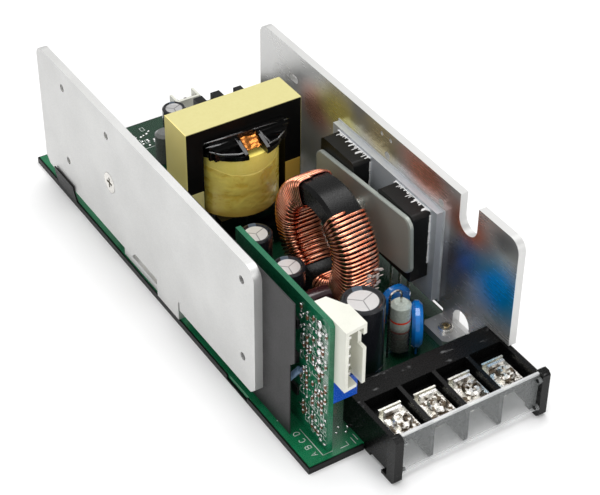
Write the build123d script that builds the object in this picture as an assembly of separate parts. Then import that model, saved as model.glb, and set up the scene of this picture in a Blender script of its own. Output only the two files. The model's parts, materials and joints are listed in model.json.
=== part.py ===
from build123d import *
import math
import os

# All sizes are in millimetres. They are set out from the board: x from its left edge,
# y from its front edge, z from its top face. The finished part is moved to rest on z = 0.

# Main board, its insulating tray and the solder under it
BOARD_W = 85.0
BOARD_L = 210.0
BOARD_T = 1.6
TRAY_T = 0.6
TRAY_GAP = 0.1
TRAY_RIM_DROP = 0.3
BARE_SIDE_FRONT = 40.0
BARE_SIDE_L = 14.0
TAB_FRONT = 174.0
TAB_L = 17.0
TAIL_H = 0.6
TAIL_R = 1.2
TAIL_TAPER = 40.0

# Side plates with their feet
PLATE_T = 3.2
PLATE_OUT = 0.8
PLATE_BOTTOM = 5.2
PLATE_TOP = 61.0
PLATE_CORNER_R = 5.0
PLATE_CHAMFER = 3.0
LEFT_PLATE_FRONT = 34.0
LEFT_PLATE_L = 166.0
RIGHT_PLATE_FRONT = 0.0
RIGHT_PLATE_L = 168.0
FOOT_T = 3.2
FOOT_REACH = 9.6
FOOT_INSET = 1.1
FOOT_CHAMFER = 3.0
LEFT_FOOT_FRONT = 89.0
LEFT_FOOT_L = 45.0
LEFT_NECK_L = 16.4
ARCH_L = 20.2
ARCH_H = 2.8
SLIT_W = 1.0
SLIT_H = 3.5
RIGHT_FOOT_FRONT = 23.6
RIGHT_FOOT_L = 14.4
RIGHT_NECK_L = 6.0
REAR_FOOT_FRONT = 138.0
HALF_ROUND_R = 4.8
HALF_ROUND_RISE = 1.2
NOTCH_CENTRE = 27.8
NOTCH_R = 5.2
NOTCH_DEPTH = 14.5
MOUNT_HOLE_R = 1.6
MOUNT_HOLE_FRONT = 8.0
MOUNT_HOLE_SPAN_Y = 136.0
MOUNT_HOLE_SPAN_Z = 34.4
MOUNT_HOLE_LOW = 12.9
TOP_HOLE_DROP = 9.0
RIGHT_HOLE_DROP = 10.6
RIGHT_HOLE_1 = 43.7
RIGHT_HOLE_2 = 77.5
SLOT_HOLE = 142.4
SLOT_HOLE_DROP = 12.7
SLOT_HOLE_L = 3.0
DIMPLE_R = 0.9
DIMPLE_DEPTH = 0.5
DIMPLE_1 = 75.8
DIMPLE_2 = 81.5
DIMPLE_DROP = 3.0

# Foot screws that come up through the board, their round nuts and the holes
FOOT_SCREW_R = 1.5
FOOT_HOLE_R = 1.7
FOOT_HEAD_R = 2.6
FOOT_HEAD_H = 0.5
FOOT_NUT_R = 2.8
FOOT_NUT_T = 1.4
FOOT_SCREW_OVER = 0.6
FOOT_SCREW_IN = 4.6
FOOT_SCREW_ALONG = 8.0

# Power device on the left plate, with its countersunk screw and nut
LEFT_DEVICE_BACK = 107.0
LEFT_DEVICE_UP = 25.2
LEFT_DEVICE_L = 15.8
LEFT_DEVICE_H = 20.8
LEFT_DEVICE_T = 5.0
PLATE_SCREW_R = 2.0
PLATE_SCREW_HEAD_R = 4.2
PLATE_SCREW_HEAD_H = 2.2
SCREW_GAP = 0.2
NUT_R = 3.9
NUT_T = 3.0

# Insulating sheet inside the left plate
SHEET_T = 0.4
SHEET_FRONT = 13.8
SHEET_L = 73.0
SHEET_STEP = 2.8
SHEET_STEP_UP = 35.0
SHEET_TOP_DROP = 0.2
SHEET_UP = 0.2

# Power devices on the right plate: film, spreader, capped devices and clamp
FILM_T = 0.4
STACK_FRONT = 41.5
STACK_L = 67.5
STACK_BOTTOM = 7.5
STACK_H = 40.5
FILM_MARGIN = 0.8
SPREADER_T = 2.8
CAPPED_T = 7.7
CAPPED_L = 22.3
CAPPED_BOTTOM = 17.5
CAPPED_H = 29.3
CAPPED_INSET = 3.5
CAPPED_R = 2.0
CLAMP_T = 2.0
CLAMP_OVER = 1.6
CLAMP_H = 24.0
CLAMP_DROP = 0.8
CLAMP_CORNER_R = 4.0
CLAMP_SCREW_R = 2.0
CLAMP_HEAD_R = 3.6
CLAMP_HEAD_H = 2.4
LEAD_W = 1.2
LEAD_T = 0.7
LEAD_PITCH = 5.45

# Transformer
CORE_X = 45.7
CORE_FRONT = 118.2
CORE_W = 49.8
CORE_D = 16.4
CORE_BOTTOM = 7.8
CORE_H = 49.4
CORE_LEG = 7.0
CORE_POST_R = 8.2
BOBBIN_GAP = 0.25
BOBBIN_WALL = 1.2
BOBBIN_FLANGE_T = 1.8
FLANGE_GAP = 0.4
UPPER_FLANGE_DROP = 3.2
LOWER_FLANGE_UP = 1.0
RAIL_REACH = 9.6
RAIL_BOTTOM = 3.0
RAIL_H = 7.0
UPPER_STEPS = ((16.2, 1.5, 7.2), (16.8, 1.3, 5.6), (15.4, 1.7, 4.4))
UPPER_WALL_BACK_H = 5.0
UPPER_WALL_FRONT_H = 2.6
FLANGE_OUT = 1.2
RAIL_NOTCH = 8.0
RAIL_RIB = 1.4
WINDING_INSET = 0.4
TAPE_T = 0.25
TAPE_INSET = 0.2
LEG_TAPE_H = 22.0
PIN_W = 0.8
PIN_PITCH = 5.0
PINS_PER_RAIL = 5

# Output choke: a ring core that stands on its edge, with two windings
RING_X = 53.2
RING_Y = 72.8
RING_R = 24.2
RING_HOLE_R = 15.2
RING_W = 13.4
RING_EDGE = 1.3
WIRE_T = 1.3
WIRE_GAP = 0.1
TURNS = 35
TURN_STEP = 4.0
TURN_FILL = 0.72
FRONT_LOW = -80.0
REAR_LOW = -68.0
SLEEVE_SHARE = 0.6
CHOKE_BASE_T = 1.3
CHOKE_BASE_W = 22.0
CHOKE_BASE_L = 30.0

# Standing capacitors and resistor
CAP_GROOVE = 0.5
CAP_LIP = 0.6
CAP_RECESS = 0.5
OUTPUT_CAP_IN = 43.0
OUTPUT_CAP_Y = 31.9
OUTPUT_CAP_R = 8.0
OUTPUT_CAP_H = 32.0
FILTER_CAP_R = 6.25
FILTER_CAP_H = 27.0
FILTER_CAP_X = 32.9
FILTER_CAP_Y = 66.5
FILTER_CAP_STEP = 22.7
AUX_CAP_IN = 31.1
AUX_CAP_Y = 190.6
AUX_CAP_R = 5.0
AUX_CAP_H = 17.0
DAMP_CAP_IN = 41.0
DAMP_CAP_Y = 181.2
DAMP_CAP_R = 4.0
DAMP_CAP_H = 14.0
BULK_CAP_IN = 27.0
BULK_CAP_Y = 158.0
BULK_CAP_R = 12.5
BULK_CAP_H = 29.0
FILM_CAP_X = 27.0
FILM_CAP_Y = 49.0
FILM_CAP_W = 13.8
FILM_CAP_D = 7.0
FILM_CAP_H = 24.0
FILM_CAP_R = 3.2
DISC_T = 4.0
DISC_EDGE = 1.2
DISC_LEAD_R = 0.4
DISC_LEAD_SPREAD = 1.1
SMALL_DISC_IN = 18.0
SMALL_DISC_Y = 47.2
SMALL_DISC_R = 6.65
SMALL_DISC_UP = 9.5
LARGE_DISC_IN = 19.3
LARGE_DISC_Y = 31.6
LARGE_DISC_R = 8.8
LARGE_DISC_UP = 9.9
LARGE_DISC_TURN = 57.0
RESISTOR_IN = 26.8
RESISTOR_Y = 31.5
RESISTOR_R = 3.8
RESISTOR_UP = 1.5
RESISTOR_H = 22.6
RESISTOR_DOME = 1.3
RESISTOR_LEAD_R = 0.45
RESISTOR_LEAD_OUT = 5.0
RESISTOR_LEAD_RISE = 6.0

# Standing control board with its parts
CARD_X = 9.0
CARD_T = 2.0
CARD_FRONT = 3.0
CARD_L = 59.5
CARD_H = 57.0
CARD_CHAMFER = 1.5
CHIP_T = 1.6
CHIP_W = 5.0
CHIP_H = 4.0
CHIP_FRONT = 18.0
CHIP_LOW = 12.0
CHIP_STEP_Y = 13.5
CHIP_STEP_Z = 15.0
CHIP_COLUMNS = 3
CHIP_ROWS = 3
PROBE_R = 1.2
PROBE_BACK = 15.6
PROBE_UP = 26.4
PROBE_L = 8.0
PROBE_LEAD_R = 0.4
PROBE_GAP = 0.2

# Output connector on the control board
CONN_BACK = 15.6
CONN_NOSE = -2.2
CONN_W = 8.8
CONN_NARROW = 4.5
CONN_BOTTOM = 31.2
CONN_WALL = 1.4
CONN_DEPTH = 7.0
CONN_KEY_W = 2.2
CONN_NOSE_CUT = 1.1
POLES = 6
POLE_PITCH = 3.96
POLE_PIN = 1.14
POLE_GAP = 0.13
POLE_TAIL = 0.6
POLE_TAIL_BACK = 8.0
POLE_FRONT = 1.0
POLE_OFF = 4.4

# Output trimmer
TRIMMER_W = 9.5
TRIMMER_D = 4.8
TRIMMER_H = 9.5
TRIMMER_FRONT = 2.3
TRIMMER_GAP = 0.4
TRIMMER_SCREW_R = 1.1
TRIMMER_SCREW_H = 1.0
TRIMMER_SLOT_W = 0.5

# Terminal block that hangs over the front edge
TERMINALS = 4
TERMINAL_PITCH = 14.5
TERMINAL_MARGIN = 1.0
END_WALL = 2.0
PARTITION = 1.6
LEDGE_BACK = 13.0
LEDGE_L = 9.0
LEDGE_UP = 15.0
FLOOR_UP = 10.0
FLOOR_FRONT = -4.0
EDGE_GAP = 0.4
PARTITION_FRONT = -16.5
PARTITION_FALL = 1.0
HEAD_FRONT = -20.0
HEAD_L = 4.4
HEAD_UP = 17.6
HEAD_CHAMFER = 1.2
HEAD_OUT = 1.4
HEAD_FOOT_L = 3.0
HEAD_FOOT_H = 1.4
WALL_UNDER = -1.3
SLIT_DEEP = 1.0
SLIT_LOW = 9.0
SLIT_TALL = 4.5
TONGUE_W = 8.8
TONGUE_L = 8.6
TONGUE_T = 3.0
TERMINAL_W = 11.0
TERMINAL_T = 1.0
TERMINAL_FRONT = -12.7
TERMINAL_L = 11.2
TERMINAL_LIP_T = 0.8
TERMINAL_LIP_H = 3.5
CLAMP_WASHER_W = 9.5
CLAMP_WASHER_L = 7.8
CLAMP_WASHER_T = 1.0
CLAMP_FLANGE_W = 7.0
CLAMP_FLANGE_OUT = 2.2
CLAMP_FLANGE_T = 1.2
CLAMP_FLANGE_H = 1.8
TERMINAL_SCREW_Y = -8.6
TERMINAL_SCREW_R = 2.0
TERMINAL_HOLE_R = 2.2
TERMINAL_HEAD_R = 3.6
TERMINAL_HEAD_H = 2.2
TERMINAL_SHANK = 8.0
CROSS_W = 1.0
CROSS_L = 4.4
CROSS_DEPTH = 1.2
COVER_T = 1.0
COVER_GAP = 0.2
COVER_BACK = -17.2
COVER_UP = 17.3
COVER_LOW = -0.6
PEG_R = 0.7
PEG_GAP = 0.15
PEG_FORWARD = 0.8
PEG_L = 1.6
PEG_INSET = 2.6
HOOK_T = 0.45
HOOK_W = 1.2

# Input parts behind the transformer
LINE_CHOKE_IN = 25.0
LINE_CHOKE_Y = 181.0
LINE_CHOKE_W = 21.0
LINE_CHOKE_D = 13.5
LINE_CHOKE_H = 14.8
LINE_CHOKE_LIMB = 4.0
LINE_COIL_R = 5.6
LINE_FLANGE_T = 1.5
LINE_LUG_W = 4.2
LINE_LUG_L = 5.0
LINE_LUG_UP = 16.6
LINE_CAP_IN = 28.0
LINE_CAP_Y = 171.5
LINE_CAP_W = 18.0
LINE_CAP_D = 8.0
LINE_CAP_H = 14.0
BRIDGE_T = 3.6
BRIDGE_BACK = 184.0
BRIDGE_L = 22.0
BRIDGE_UP = 4.0
BRIDGE_H = 18.0
BRIDGE_GAP = 0.3
BRIDGE_CHAMFER = 2.5
BRIDGE_PITCH = 5.0
FUSE_IN = 28.0
FUSE_Y = 198.6
FUSE_R = 2.6
FUSE_L = 20.0
FUSE_CAP_L = 5.0
FUSE_GLASS_R = 2.4
FUSE_CLIP_T = 0.4
FUSE_CLIP_W = 4.0
FUSE_CLIP_WALL = 2.2
INPUT_IN = 23.2
INPUT_Y = 202.6
INPUT_W = 11.5
INPUT_D = 6.8
INPUT_H = 9.8
INPUT_WALL = 1.0
INPUT_FLOOR = 2.5
INPUT_FALL = 4.0
INPUT_PINS = 3
INPUT_PIN_W = 1.1
INPUT_PIN_UP = 8.4

# Places that follow from the sizes
LEFT_OUT = -PLATE_OUT
LEFT_IN = PLATE_T - PLATE_OUT
RIGHT_IN = BOARD_W + PLATE_OUT - PLATE_T
RIGHT_OUT = BOARD_W + PLATE_OUT
BOARD_UNDER = -BOARD_T
OUTPUT_CAP_X = BOARD_W - OUTPUT_CAP_IN
AUX_CAP_X = BOARD_W - AUX_CAP_IN
DAMP_CAP_X = BOARD_W - DAMP_CAP_IN
BULK_CAP_X = BOARD_W - BULK_CAP_IN
SMALL_DISC_X = BOARD_W - SMALL_DISC_IN
LARGE_DISC_X = BOARD_W - LARGE_DISC_IN
RESISTOR_X = BOARD_W - RESISTOR_IN
LINE_CHOKE_X = BOARD_W - LINE_CHOKE_IN
LINE_CAP_X = BOARD_W - LINE_CAP_IN
FUSE_X = BOARD_W - FUSE_IN
INPUT_X = BOARD_W - INPUT_IN
TRAY_FLOOR = BOARD_UNDER - TAIL_H
REST_Z = TRAY_FLOOR - TRAY_T
CORE_Y = CORE_FRONT + CORE_D / 2
CORE_TOP = CORE_BOTTOM + CORE_H
CARD_RIGHT = CARD_X + CARD_T
BLOCK_RIGHT = BOARD_W - TERMINAL_MARGIN
BLOCK_LEFT = BLOCK_RIGHT - TERMINALS * TERMINAL_PITCH - 2 * END_WALL
LEDGE_FRONT = LEDGE_BACK - LEDGE_L
SPREADER_X = RIGHT_IN - FILM_T - SPREADER_T
CAPPED_X = SPREADER_X - CAPPED_T
CLAMP_X = CAPPED_X - CLAMP_T
CAPPED_TOP = CAPPED_BOTTOM + CAPPED_H
CLAMP_Y = STACK_FRONT + STACK_L / 2
CLAMP_Z = CAPPED_TOP - CLAMP_DROP - CLAMP_H / 2
RING_Z = CHOKE_BASE_T + WIRE_GAP + WIRE_T + RING_R
LEFT_DEVICE_Y = LEFT_PLATE_FRONT + LEFT_DEVICE_BACK
LEFT_DEVICE_Z = PLATE_BOTTOM + LEFT_DEVICE_UP


# Basic shapes
def block(x0, x1, y0, y1, z0, z1):
    """A box between two opposite corners."""
    low = (Align.MIN, Align.MIN, Align.MIN)
    return Pos(x0, y0, z0) * Box(x1 - x0, y1 - y0, z1 - z0, align=low)


def post(x, y, z0, z1, radius):
    """An upright cylinder."""
    low = (Align.CENTER, Align.CENTER, Align.MIN)
    return Pos(x, y, z0) * Cylinder(radius, z1 - z0, align=low)


def lead(x, y, top, radius):
    """A thin upright wire from the board, with six sides to keep its faces few."""
    return Pos(x, y, 0) * extrude(RegularPolygon(radius, 6), top, dir=(0, 0, 1))


def bar_x(x0, x1, y, z, radius):
    """A cylinder along x."""
    low = (Align.CENTER, Align.CENTER, Align.MIN)
    return Pos(x0, y, z) * Rot(0, 90, 0) * Cylinder(radius, x1 - x0, align=low)


def bar_y(x, y0, y1, z, radius):
    """A cylinder along y."""
    low = (Align.CENTER, Align.CENTER, Align.MIN)
    return Pos(x, y0, z) * Rot(-90, 0, 0) * Cylinder(radius, y1 - y0, align=low)


def side_shape(points, x0, x1):
    """A closed outline in y and z, given as corners, made x1 - x0 thick."""
    face = Plane.YZ.offset(x0) * Polygon(*points, align=None)
    return extrude(face, x1 - x0, dir=(1, 0, 0))


def plan_shape(points, z0, z1):
    """A closed outline in x and y, given as corners, made z1 - z0 high."""
    face = Plane.XY.offset(z0) * Polygon(*points, align=None)
    return extrude(face, z1 - z0, dir=(0, 0, 1))


def soften(shape, axis, a, b, radius):
    """Rounds the edge along an axis that lies nearest to the other two coordinates a, b."""
    spots = {Axis.X: (0, a, b), Axis.Y: (a, 0, b), Axis.Z: (a, b, 0)}
    keep = {Axis.X: (0, 1, 1), Axis.Y: (1, 0, 1), Axis.Z: (1, 1, 0)}[axis]
    spot = Vector(*spots[axis])
    edges = shape.edges().filter_by(axis)
    near = edges.sort_by(lambda e: (Vector(*(c * k for c, k in zip(e.center(), keep))) - spot).length)
    return fillet(near[0], radius)


def slant(shape, axis, a, b, length):
    """Chamfers the edge along an axis that lies nearest to the other two coordinates a, b."""
    spots = {Axis.X: (0, a, b), Axis.Y: (a, 0, b), Axis.Z: (a, b, 0)}
    keep = {Axis.X: (0, 1, 1), Axis.Y: (1, 0, 1), Axis.Z: (1, 1, 0)}[axis]
    spot = Vector(*spots[axis])
    edges = shape.edges().filter_by(axis)
    near = edges.sort_by(lambda e: (Vector(*(c * k for c, k in zip(e.center(), keep))) - spot).length)
    return chamfer(near[0], length)


def group(shapes):
    """Several separate solids of one kind, kept in one node."""
    return Compound([solid for shape in shapes for solid in shape.solids()])


def cross_cut(x, y, top, width, length, depth):
    """The cross recess in an upright screw head."""
    one = block(x - length / 2, x + length / 2, y - width / 2, y + width / 2, top - depth, top)
    two = block(x - width / 2, x + width / 2, y - length / 2, y + length / 2, top - depth, top)
    return one + two


# Board and tray
def foot_screw_places():
    """Plan positions of the screws that hold the side plates' feet."""
    left = LEFT_IN + FOOT_SCREW_IN
    right = RIGHT_IN - FOOT_SCREW_IN
    return [
        (left, LEFT_FOOT_FRONT + FOOT_SCREW_ALONG),
        (left, LEFT_FOOT_FRONT + LEFT_FOOT_L - FOOT_SCREW_ALONG),
        (right, RIGHT_FOOT_FRONT + RIGHT_FOOT_L - FOOT_SCREW_ALONG),
        (right, REAR_FOOT_FRONT + RIGHT_FOOT_L - FOOT_SCREW_ALONG),
    ]


def main_board():
    board = block(0, BOARD_W, 0, BOARD_L, BOARD_UNDER, 0)
    for x, y in foot_screw_places():
        board -= post(x, y, BOARD_UNDER - 1, 1, FOOT_HOLE_R)
    return board


def insulation_tray():
    out = TRAY_GAP + TRAY_T
    rim_top = -TRAY_RIM_DROP
    tray = block(-out, BOARD_W + out, -out, BOARD_L + out, REST_Z, rim_top)
    tray -= block(-TRAY_GAP, BOARD_W + TRAY_GAP, -TRAY_GAP, BOARD_L + TRAY_GAP, TRAY_FLOOR, 1)
    front = block(BLOCK_LEFT - EDGE_GAP, BOARD_W + out, -out, 0, REST_Z, 1)
    bare_side = block(-out, 0, BARE_SIDE_FRONT, BARE_SIDE_FRONT + BARE_SIDE_L, TRAY_FLOOR, 1)
    tray -= front + bare_side
    lean = [(-out, rim_top), (-TRAY_GAP, rim_top), (LEFT_OUT - 0.15, PLATE_BOTTOM - 0.3)]
    lean += [(LEFT_OUT - 0.5, PLATE_BOTTOM + 2.5), (LEFT_OUT - 0.5 - TRAY_T, PLATE_BOTTOM + 2.5)]
    lean += [(LEFT_OUT - 0.15 - TRAY_T, PLATE_BOTTOM - 0.3)]
    face = Plane.XZ.offset(-TAB_FRONT) * Polygon(*lean, align=None)
    return tray + extrude(face, TAB_L, dir=(0, 1, 0))


def lead_places():
    """Plan positions of the solder joints under the board."""
    places = [(CORE_X + step * PIN_PITCH * 2, y) for step in (-1, 0, 1) for y in rail_pin_rows()]
    places += [(RING_X + side * RING_W / 2, RING_Y + end * 9) for side in (-1, 1) for end in (-1, 1)]
    places += [(x, LEDGE_FRONT + 2) for x in terminal_places()]
    places += [(BULK_CAP_X - 5, BULK_CAP_Y), (BULK_CAP_X + 5, BULK_CAP_Y)]
    places += [(OUTPUT_CAP_X - 3.75, OUTPUT_CAP_Y), (OUTPUT_CAP_X + 3.75, OUTPUT_CAP_Y)]
    places += [(CARD_X + CARD_T / 2, CARD_FRONT + share * CARD_L) for share in (0.2, 0.8)]
    middle = INPUT_X + INPUT_W / 2
    places += [(middle + side * POLE_PITCH, INPUT_Y + INPUT_D / 2) for side in (-1, 1)]
    return places


def solder_joints():
    face = RegularPolygon(TAIL_R, 6)
    joint = extrude(face, TAIL_H, dir=(0, 0, -1), taper=TAIL_TAPER)
    return group([Pos(x, y, BOARD_UNDER) * joint for x, y in lead_places()])


# Side plates
def left_side_plate():
    front = LEFT_PLATE_FRONT
    back = front + LEFT_PLATE_L
    neck_end = LEFT_FOOT_FRONT + LEFT_NECK_L
    outline = [(front, PLATE_BOTTOM), (LEFT_FOOT_FRONT, PLATE_BOTTOM), (LEFT_FOOT_FRONT, 0)]
    outline += [(neck_end, 0), (neck_end, PLATE_BOTTOM), (back, PLATE_BOTTOM)]
    outline += [(back, PLATE_TOP), (front, PLATE_TOP)]
    plate = side_shape(outline, LEFT_OUT, LEFT_IN)
    plate = soften(plate, Axis.X, front, PLATE_TOP, PLATE_CORNER_R)
    plate = soften(plate, Axis.X, back, PLATE_TOP, PLATE_CORNER_R)
    plate = slant(plate, Axis.X, front, PLATE_BOTTOM, PLATE_CHAMFER)
    plate = slant(plate, Axis.X, back, PLATE_BOTTOM, PLATE_CHAMFER)
    arch = [(neck_end, 0), (neck_end, PLATE_BOTTOM + ARCH_H)]
    arch += [(neck_end + ARCH_L - ARCH_H, PLATE_BOTTOM + ARCH_H), (neck_end + ARCH_L, PLATE_BOTTOM)]
    arch += [(neck_end + ARCH_L, 0)]
    plate -= side_shape(arch, LEFT_OUT - 1, LEFT_IN + 1)
    slit_top = PLATE_BOTTOM + SLIT_H
    plate -= block(LEFT_OUT - 1, LEFT_IN + 1, LEFT_FOOT_FRONT - SLIT_W, LEFT_FOOT_FRONT, 0, slit_top)
    foot_back = LEFT_FOOT_FRONT + LEFT_FOOT_L
    foot = block(LEFT_OUT + FOOT_INSET, LEFT_IN + FOOT_REACH, LEFT_FOOT_FRONT, foot_back, 0, FOOT_T)
    foot = slant(foot, Axis.Z, LEFT_IN + FOOT_REACH, foot_back, FOOT_CHAMFER)
    foot = slant(foot, Axis.Z, LEFT_IN + FOOT_REACH, LEFT_FOOT_FRONT, FOOT_CHAMFER)
    plate += foot
    for x, y in foot_screw_places()[:2]:
        plate -= post(x, y, -1, FOOT_T + 1, FOOT_HOLE_R)
    for y, z in mount_hole_places():
        plate -= bar_x(LEFT_OUT - 1, LEFT_IN + 1, y, z, MOUNT_HOLE_R)
    middle = back - LEFT_PLATE_L + LEFT_DEVICE_BACK
    plate -= bar_x(LEFT_OUT - 1, LEFT_IN + 1, middle, PLATE_TOP - TOP_HOLE_DROP, MOUNT_HOLE_R)
    plate -= bar_x(LEFT_OUT - 1, LEFT_IN + 1, LEFT_DEVICE_Y, LEFT_DEVICE_Z, PLATE_SCREW_R + SCREW_GAP)
    return plate - countersink(SCREW_GAP)


def mount_hole_places():
    """The four tapped holes of the left plate, as y and z."""
    front = LEFT_PLATE_FRONT + MOUNT_HOLE_FRONT
    low = PLATE_BOTTOM + MOUNT_HOLE_LOW
    ends = (front, front + MOUNT_HOLE_SPAN_Y)
    return [(y, z) for y in ends for z in (low, low + MOUNT_HOLE_SPAN_Z)]


def countersink(gap):
    """The cone of the plate screw's head, from the plate's outer face inwards."""
    low = (Align.CENTER, Align.CENTER, Align.MIN)
    cone = Cone(PLATE_SCREW_HEAD_R + gap, PLATE_SCREW_R + gap, PLATE_SCREW_HEAD_H, align=low)
    return Pos(LEFT_OUT, LEFT_DEVICE_Y, LEFT_DEVICE_Z) * Rot(0, 90, 0) * cone


def right_foot(front):
    """A foot of the right plate with the neck that joins it to the plate."""
    back = front + RIGHT_FOOT_L
    foot = block(RIGHT_IN - FOOT_REACH, RIGHT_OUT - FOOT_INSET, front, back, 0, FOOT_T)
    foot = slant(foot, Axis.Z, RIGHT_IN - FOOT_REACH, front, FOOT_CHAMFER / 2)
    foot = slant(foot, Axis.Z, RIGHT_IN - FOOT_REACH, back, FOOT_CHAMFER / 2)
    return foot + block(RIGHT_IN, RIGHT_OUT, back - RIGHT_NECK_L, back, 0, PLATE_BOTTOM)


def right_side_plate():
    front = RIGHT_PLATE_FRONT
    back = front + RIGHT_PLATE_L
    step = LEDGE_BACK + EDGE_GAP
    over = LEDGE_UP + EDGE_GAP
    outline = [(step, PLATE_BOTTOM), (back, PLATE_BOTTOM), (back, PLATE_TOP), (front, PLATE_TOP)]
    outline += [(front, over), (step, over)]
    plate = side_shape(outline, RIGHT_IN, RIGHT_OUT)
    plate = soften(plate, Axis.X, front, PLATE_TOP, PLATE_CORNER_R)
    plate = soften(plate, Axis.X, back, PLATE_TOP, PLATE_CORNER_R)
    plate = slant(plate, Axis.X, back, PLATE_BOTTOM, PLATE_CHAMFER)
    before, after = RIGHT_IN - 1, RIGHT_OUT + 1
    half_z = PLATE_BOTTOM + HALF_ROUND_RISE
    half_y = RIGHT_FOOT_FRONT + RIGHT_FOOT_L - RIGHT_NECK_L - HALF_ROUND_R
    plate -= bar_x(before, after, half_y, half_z, HALF_ROUND_R)
    plate -= block(before, after, half_y - HALF_ROUND_R, half_y + HALF_ROUND_R, 0, half_z)
    notch_z = PLATE_TOP - NOTCH_DEPTH + NOTCH_R
    notch_y = RIGHT_PLATE_FRONT + NOTCH_CENTRE
    plate -= bar_x(before, after, notch_y, notch_z, NOTCH_R)
    plate -= block(before, after, notch_y - NOTCH_R, notch_y + NOTCH_R, notch_z, PLATE_TOP + 1)
    plate += right_foot(RIGHT_FOOT_FRONT) + right_foot(REAR_FOOT_FRONT)
    for x, y in foot_screw_places()[2:]:
        plate -= post(x, y, -1, FOOT_T + 1, FOOT_HOLE_R)
    for y in (RIGHT_HOLE_1, RIGHT_HOLE_2):
        plate -= bar_x(before, after, y, PLATE_TOP - RIGHT_HOLE_DROP, MOUNT_HOLE_R)
    slot_z = PLATE_TOP - SLOT_HOLE_DROP
    for end in (SLOT_HOLE - SLOT_HOLE_L / 2, SLOT_HOLE + SLOT_HOLE_L / 2):
        plate -= bar_x(before, after, end, slot_z, MOUNT_HOLE_R)
    ends = (SLOT_HOLE - SLOT_HOLE_L / 2, SLOT_HOLE + SLOT_HOLE_L / 2)
    plate -= block(before, after, ends[0], ends[1], slot_z - MOUNT_HOLE_R, slot_z + MOUNT_HOLE_R)
    for y in (DIMPLE_1, DIMPLE_2):
        plate -= bar_x(RIGHT_IN - 1, RIGHT_IN + DIMPLE_DEPTH, y, PLATE_TOP - DIMPLE_DROP, DIMPLE_R)
    return plate - bar_x(RIGHT_IN - 1, RIGHT_OUT - 1, CLAMP_Y, CLAMP_Z, CLAMP_SCREW_R + SCREW_GAP)


def foot_nuts():
    nuts = []
    for x, y in foot_screw_places():
        nut = post(x, y, FOOT_T, FOOT_T + FOOT_NUT_T, FOOT_NUT_R)
        nut = chamfer(nut.edges().sort_by(Axis.Z)[-1], FOOT_NUT_T / 4)
        nuts.append(nut - post(x, y, 0, FOOT_T + FOOT_NUT_T + 1, FOOT_SCREW_R + SCREW_GAP / 2))
    return group(nuts)


def foot_screws():
    screws = []
    for x, y in foot_screw_places():
        screw = post(x, y, BOARD_UNDER, FOOT_T + FOOT_NUT_T + FOOT_SCREW_OVER, FOOT_SCREW_R)
        screw = chamfer(screw.edges().sort_by(Axis.Z)[-1], FOOT_SCREW_R / 5)
        screws.append(screw + post(x, y, BOARD_UNDER - FOOT_HEAD_H, BOARD_UNDER, FOOT_HEAD_R))
    return group(screws)


# Power device on the left plate
def plate_screw():
    end = LEFT_IN + LEFT_DEVICE_T + NUT_T
    screw = countersink(0) + bar_x(LEFT_OUT + 1, end, LEFT_DEVICE_Y, LEFT_DEVICE_Z, PLATE_SCREW_R)
    y, z = LEFT_DEVICE_Y, LEFT_DEVICE_Z
    half, wide = CROSS_L / 2, CROSS_W / 2
    screw -= block(LEFT_OUT - 1, LEFT_OUT + CROSS_DEPTH, y - half, y + half, z - wide, z + wide)
    return screw - block(LEFT_OUT - 1, LEFT_OUT + CROSS_DEPTH, y - wide, y + wide, z - half, z + half)


def plate_nut():
    start = LEFT_IN + LEFT_DEVICE_T
    face = Plane.YZ.offset(start) * Pos(LEFT_DEVICE_Y, LEFT_DEVICE_Z) * RegularPolygon(NUT_R, 6)
    nut = extrude(face, NUT_T, dir=(1, 0, 0))
    return nut - bar_x(start - 1, start + NUT_T + 1, LEFT_DEVICE_Y, LEFT_DEVICE_Z, PLATE_SCREW_R + SCREW_GAP)


def left_power_device():
    y0 = LEFT_DEVICE_Y - LEFT_DEVICE_L / 2
    z1 = LEFT_DEVICE_Z + LEFT_DEVICE_H / 3
    z0 = z1 - LEFT_DEVICE_H
    body = block(LEFT_IN, LEFT_IN + LEFT_DEVICE_T, y0, y0 + LEFT_DEVICE_L, z0, z1)
    body = slant(body, Axis.Y, LEFT_IN + LEFT_DEVICE_T, z1, LEFT_DEVICE_T / 4)
    hole_end = LEFT_IN + LEFT_DEVICE_T + 1
    body -= bar_x(LEFT_IN - 1, hole_end, LEFT_DEVICE_Y, LEFT_DEVICE_Z, PLATE_SCREW_R + SCREW_GAP)
    for step in (-1, 0, 1):
        y = LEFT_DEVICE_Y + step * LEAD_PITCH
        x = LEFT_IN + LEFT_DEVICE_T / 2
        body += block(x - LEAD_T / 2, x + LEAD_T / 2, y - LEAD_W / 2, y + LEAD_W / 2, 0, z0)
    return body


def side_insulating_sheet():
    front, back = SHEET_FRONT, SHEET_FRONT + SHEET_L
    top = PLATE_TOP - SHEET_TOP_DROP
    outline = [(front, top), (front, SHEET_STEP_UP), (front + SHEET_STEP, SHEET_STEP_UP - SHEET_STEP)]
    outline += [(front + SHEET_STEP, SHEET_UP), (back, SHEET_UP), (back, top)]
    return side_shape(outline, LEFT_IN, LEFT_IN + SHEET_T)


# Power devices on the right plate
def insulating_film():
    y0, y1 = STACK_FRONT - FILM_MARGIN, STACK_FRONT + STACK_L + FILM_MARGIN
    z0, z1 = STACK_BOTTOM - FILM_MARGIN, STACK_BOTTOM + STACK_H + FILM_MARGIN / 2
    film = block(RIGHT_IN - FILM_T, RIGHT_IN, y0, y1, z0, z1)
    return film - bar_x(CLAMP_X, RIGHT_OUT, CLAMP_Y, CLAMP_Z, CLAMP_SCREW_R + SCREW_GAP)


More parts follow.
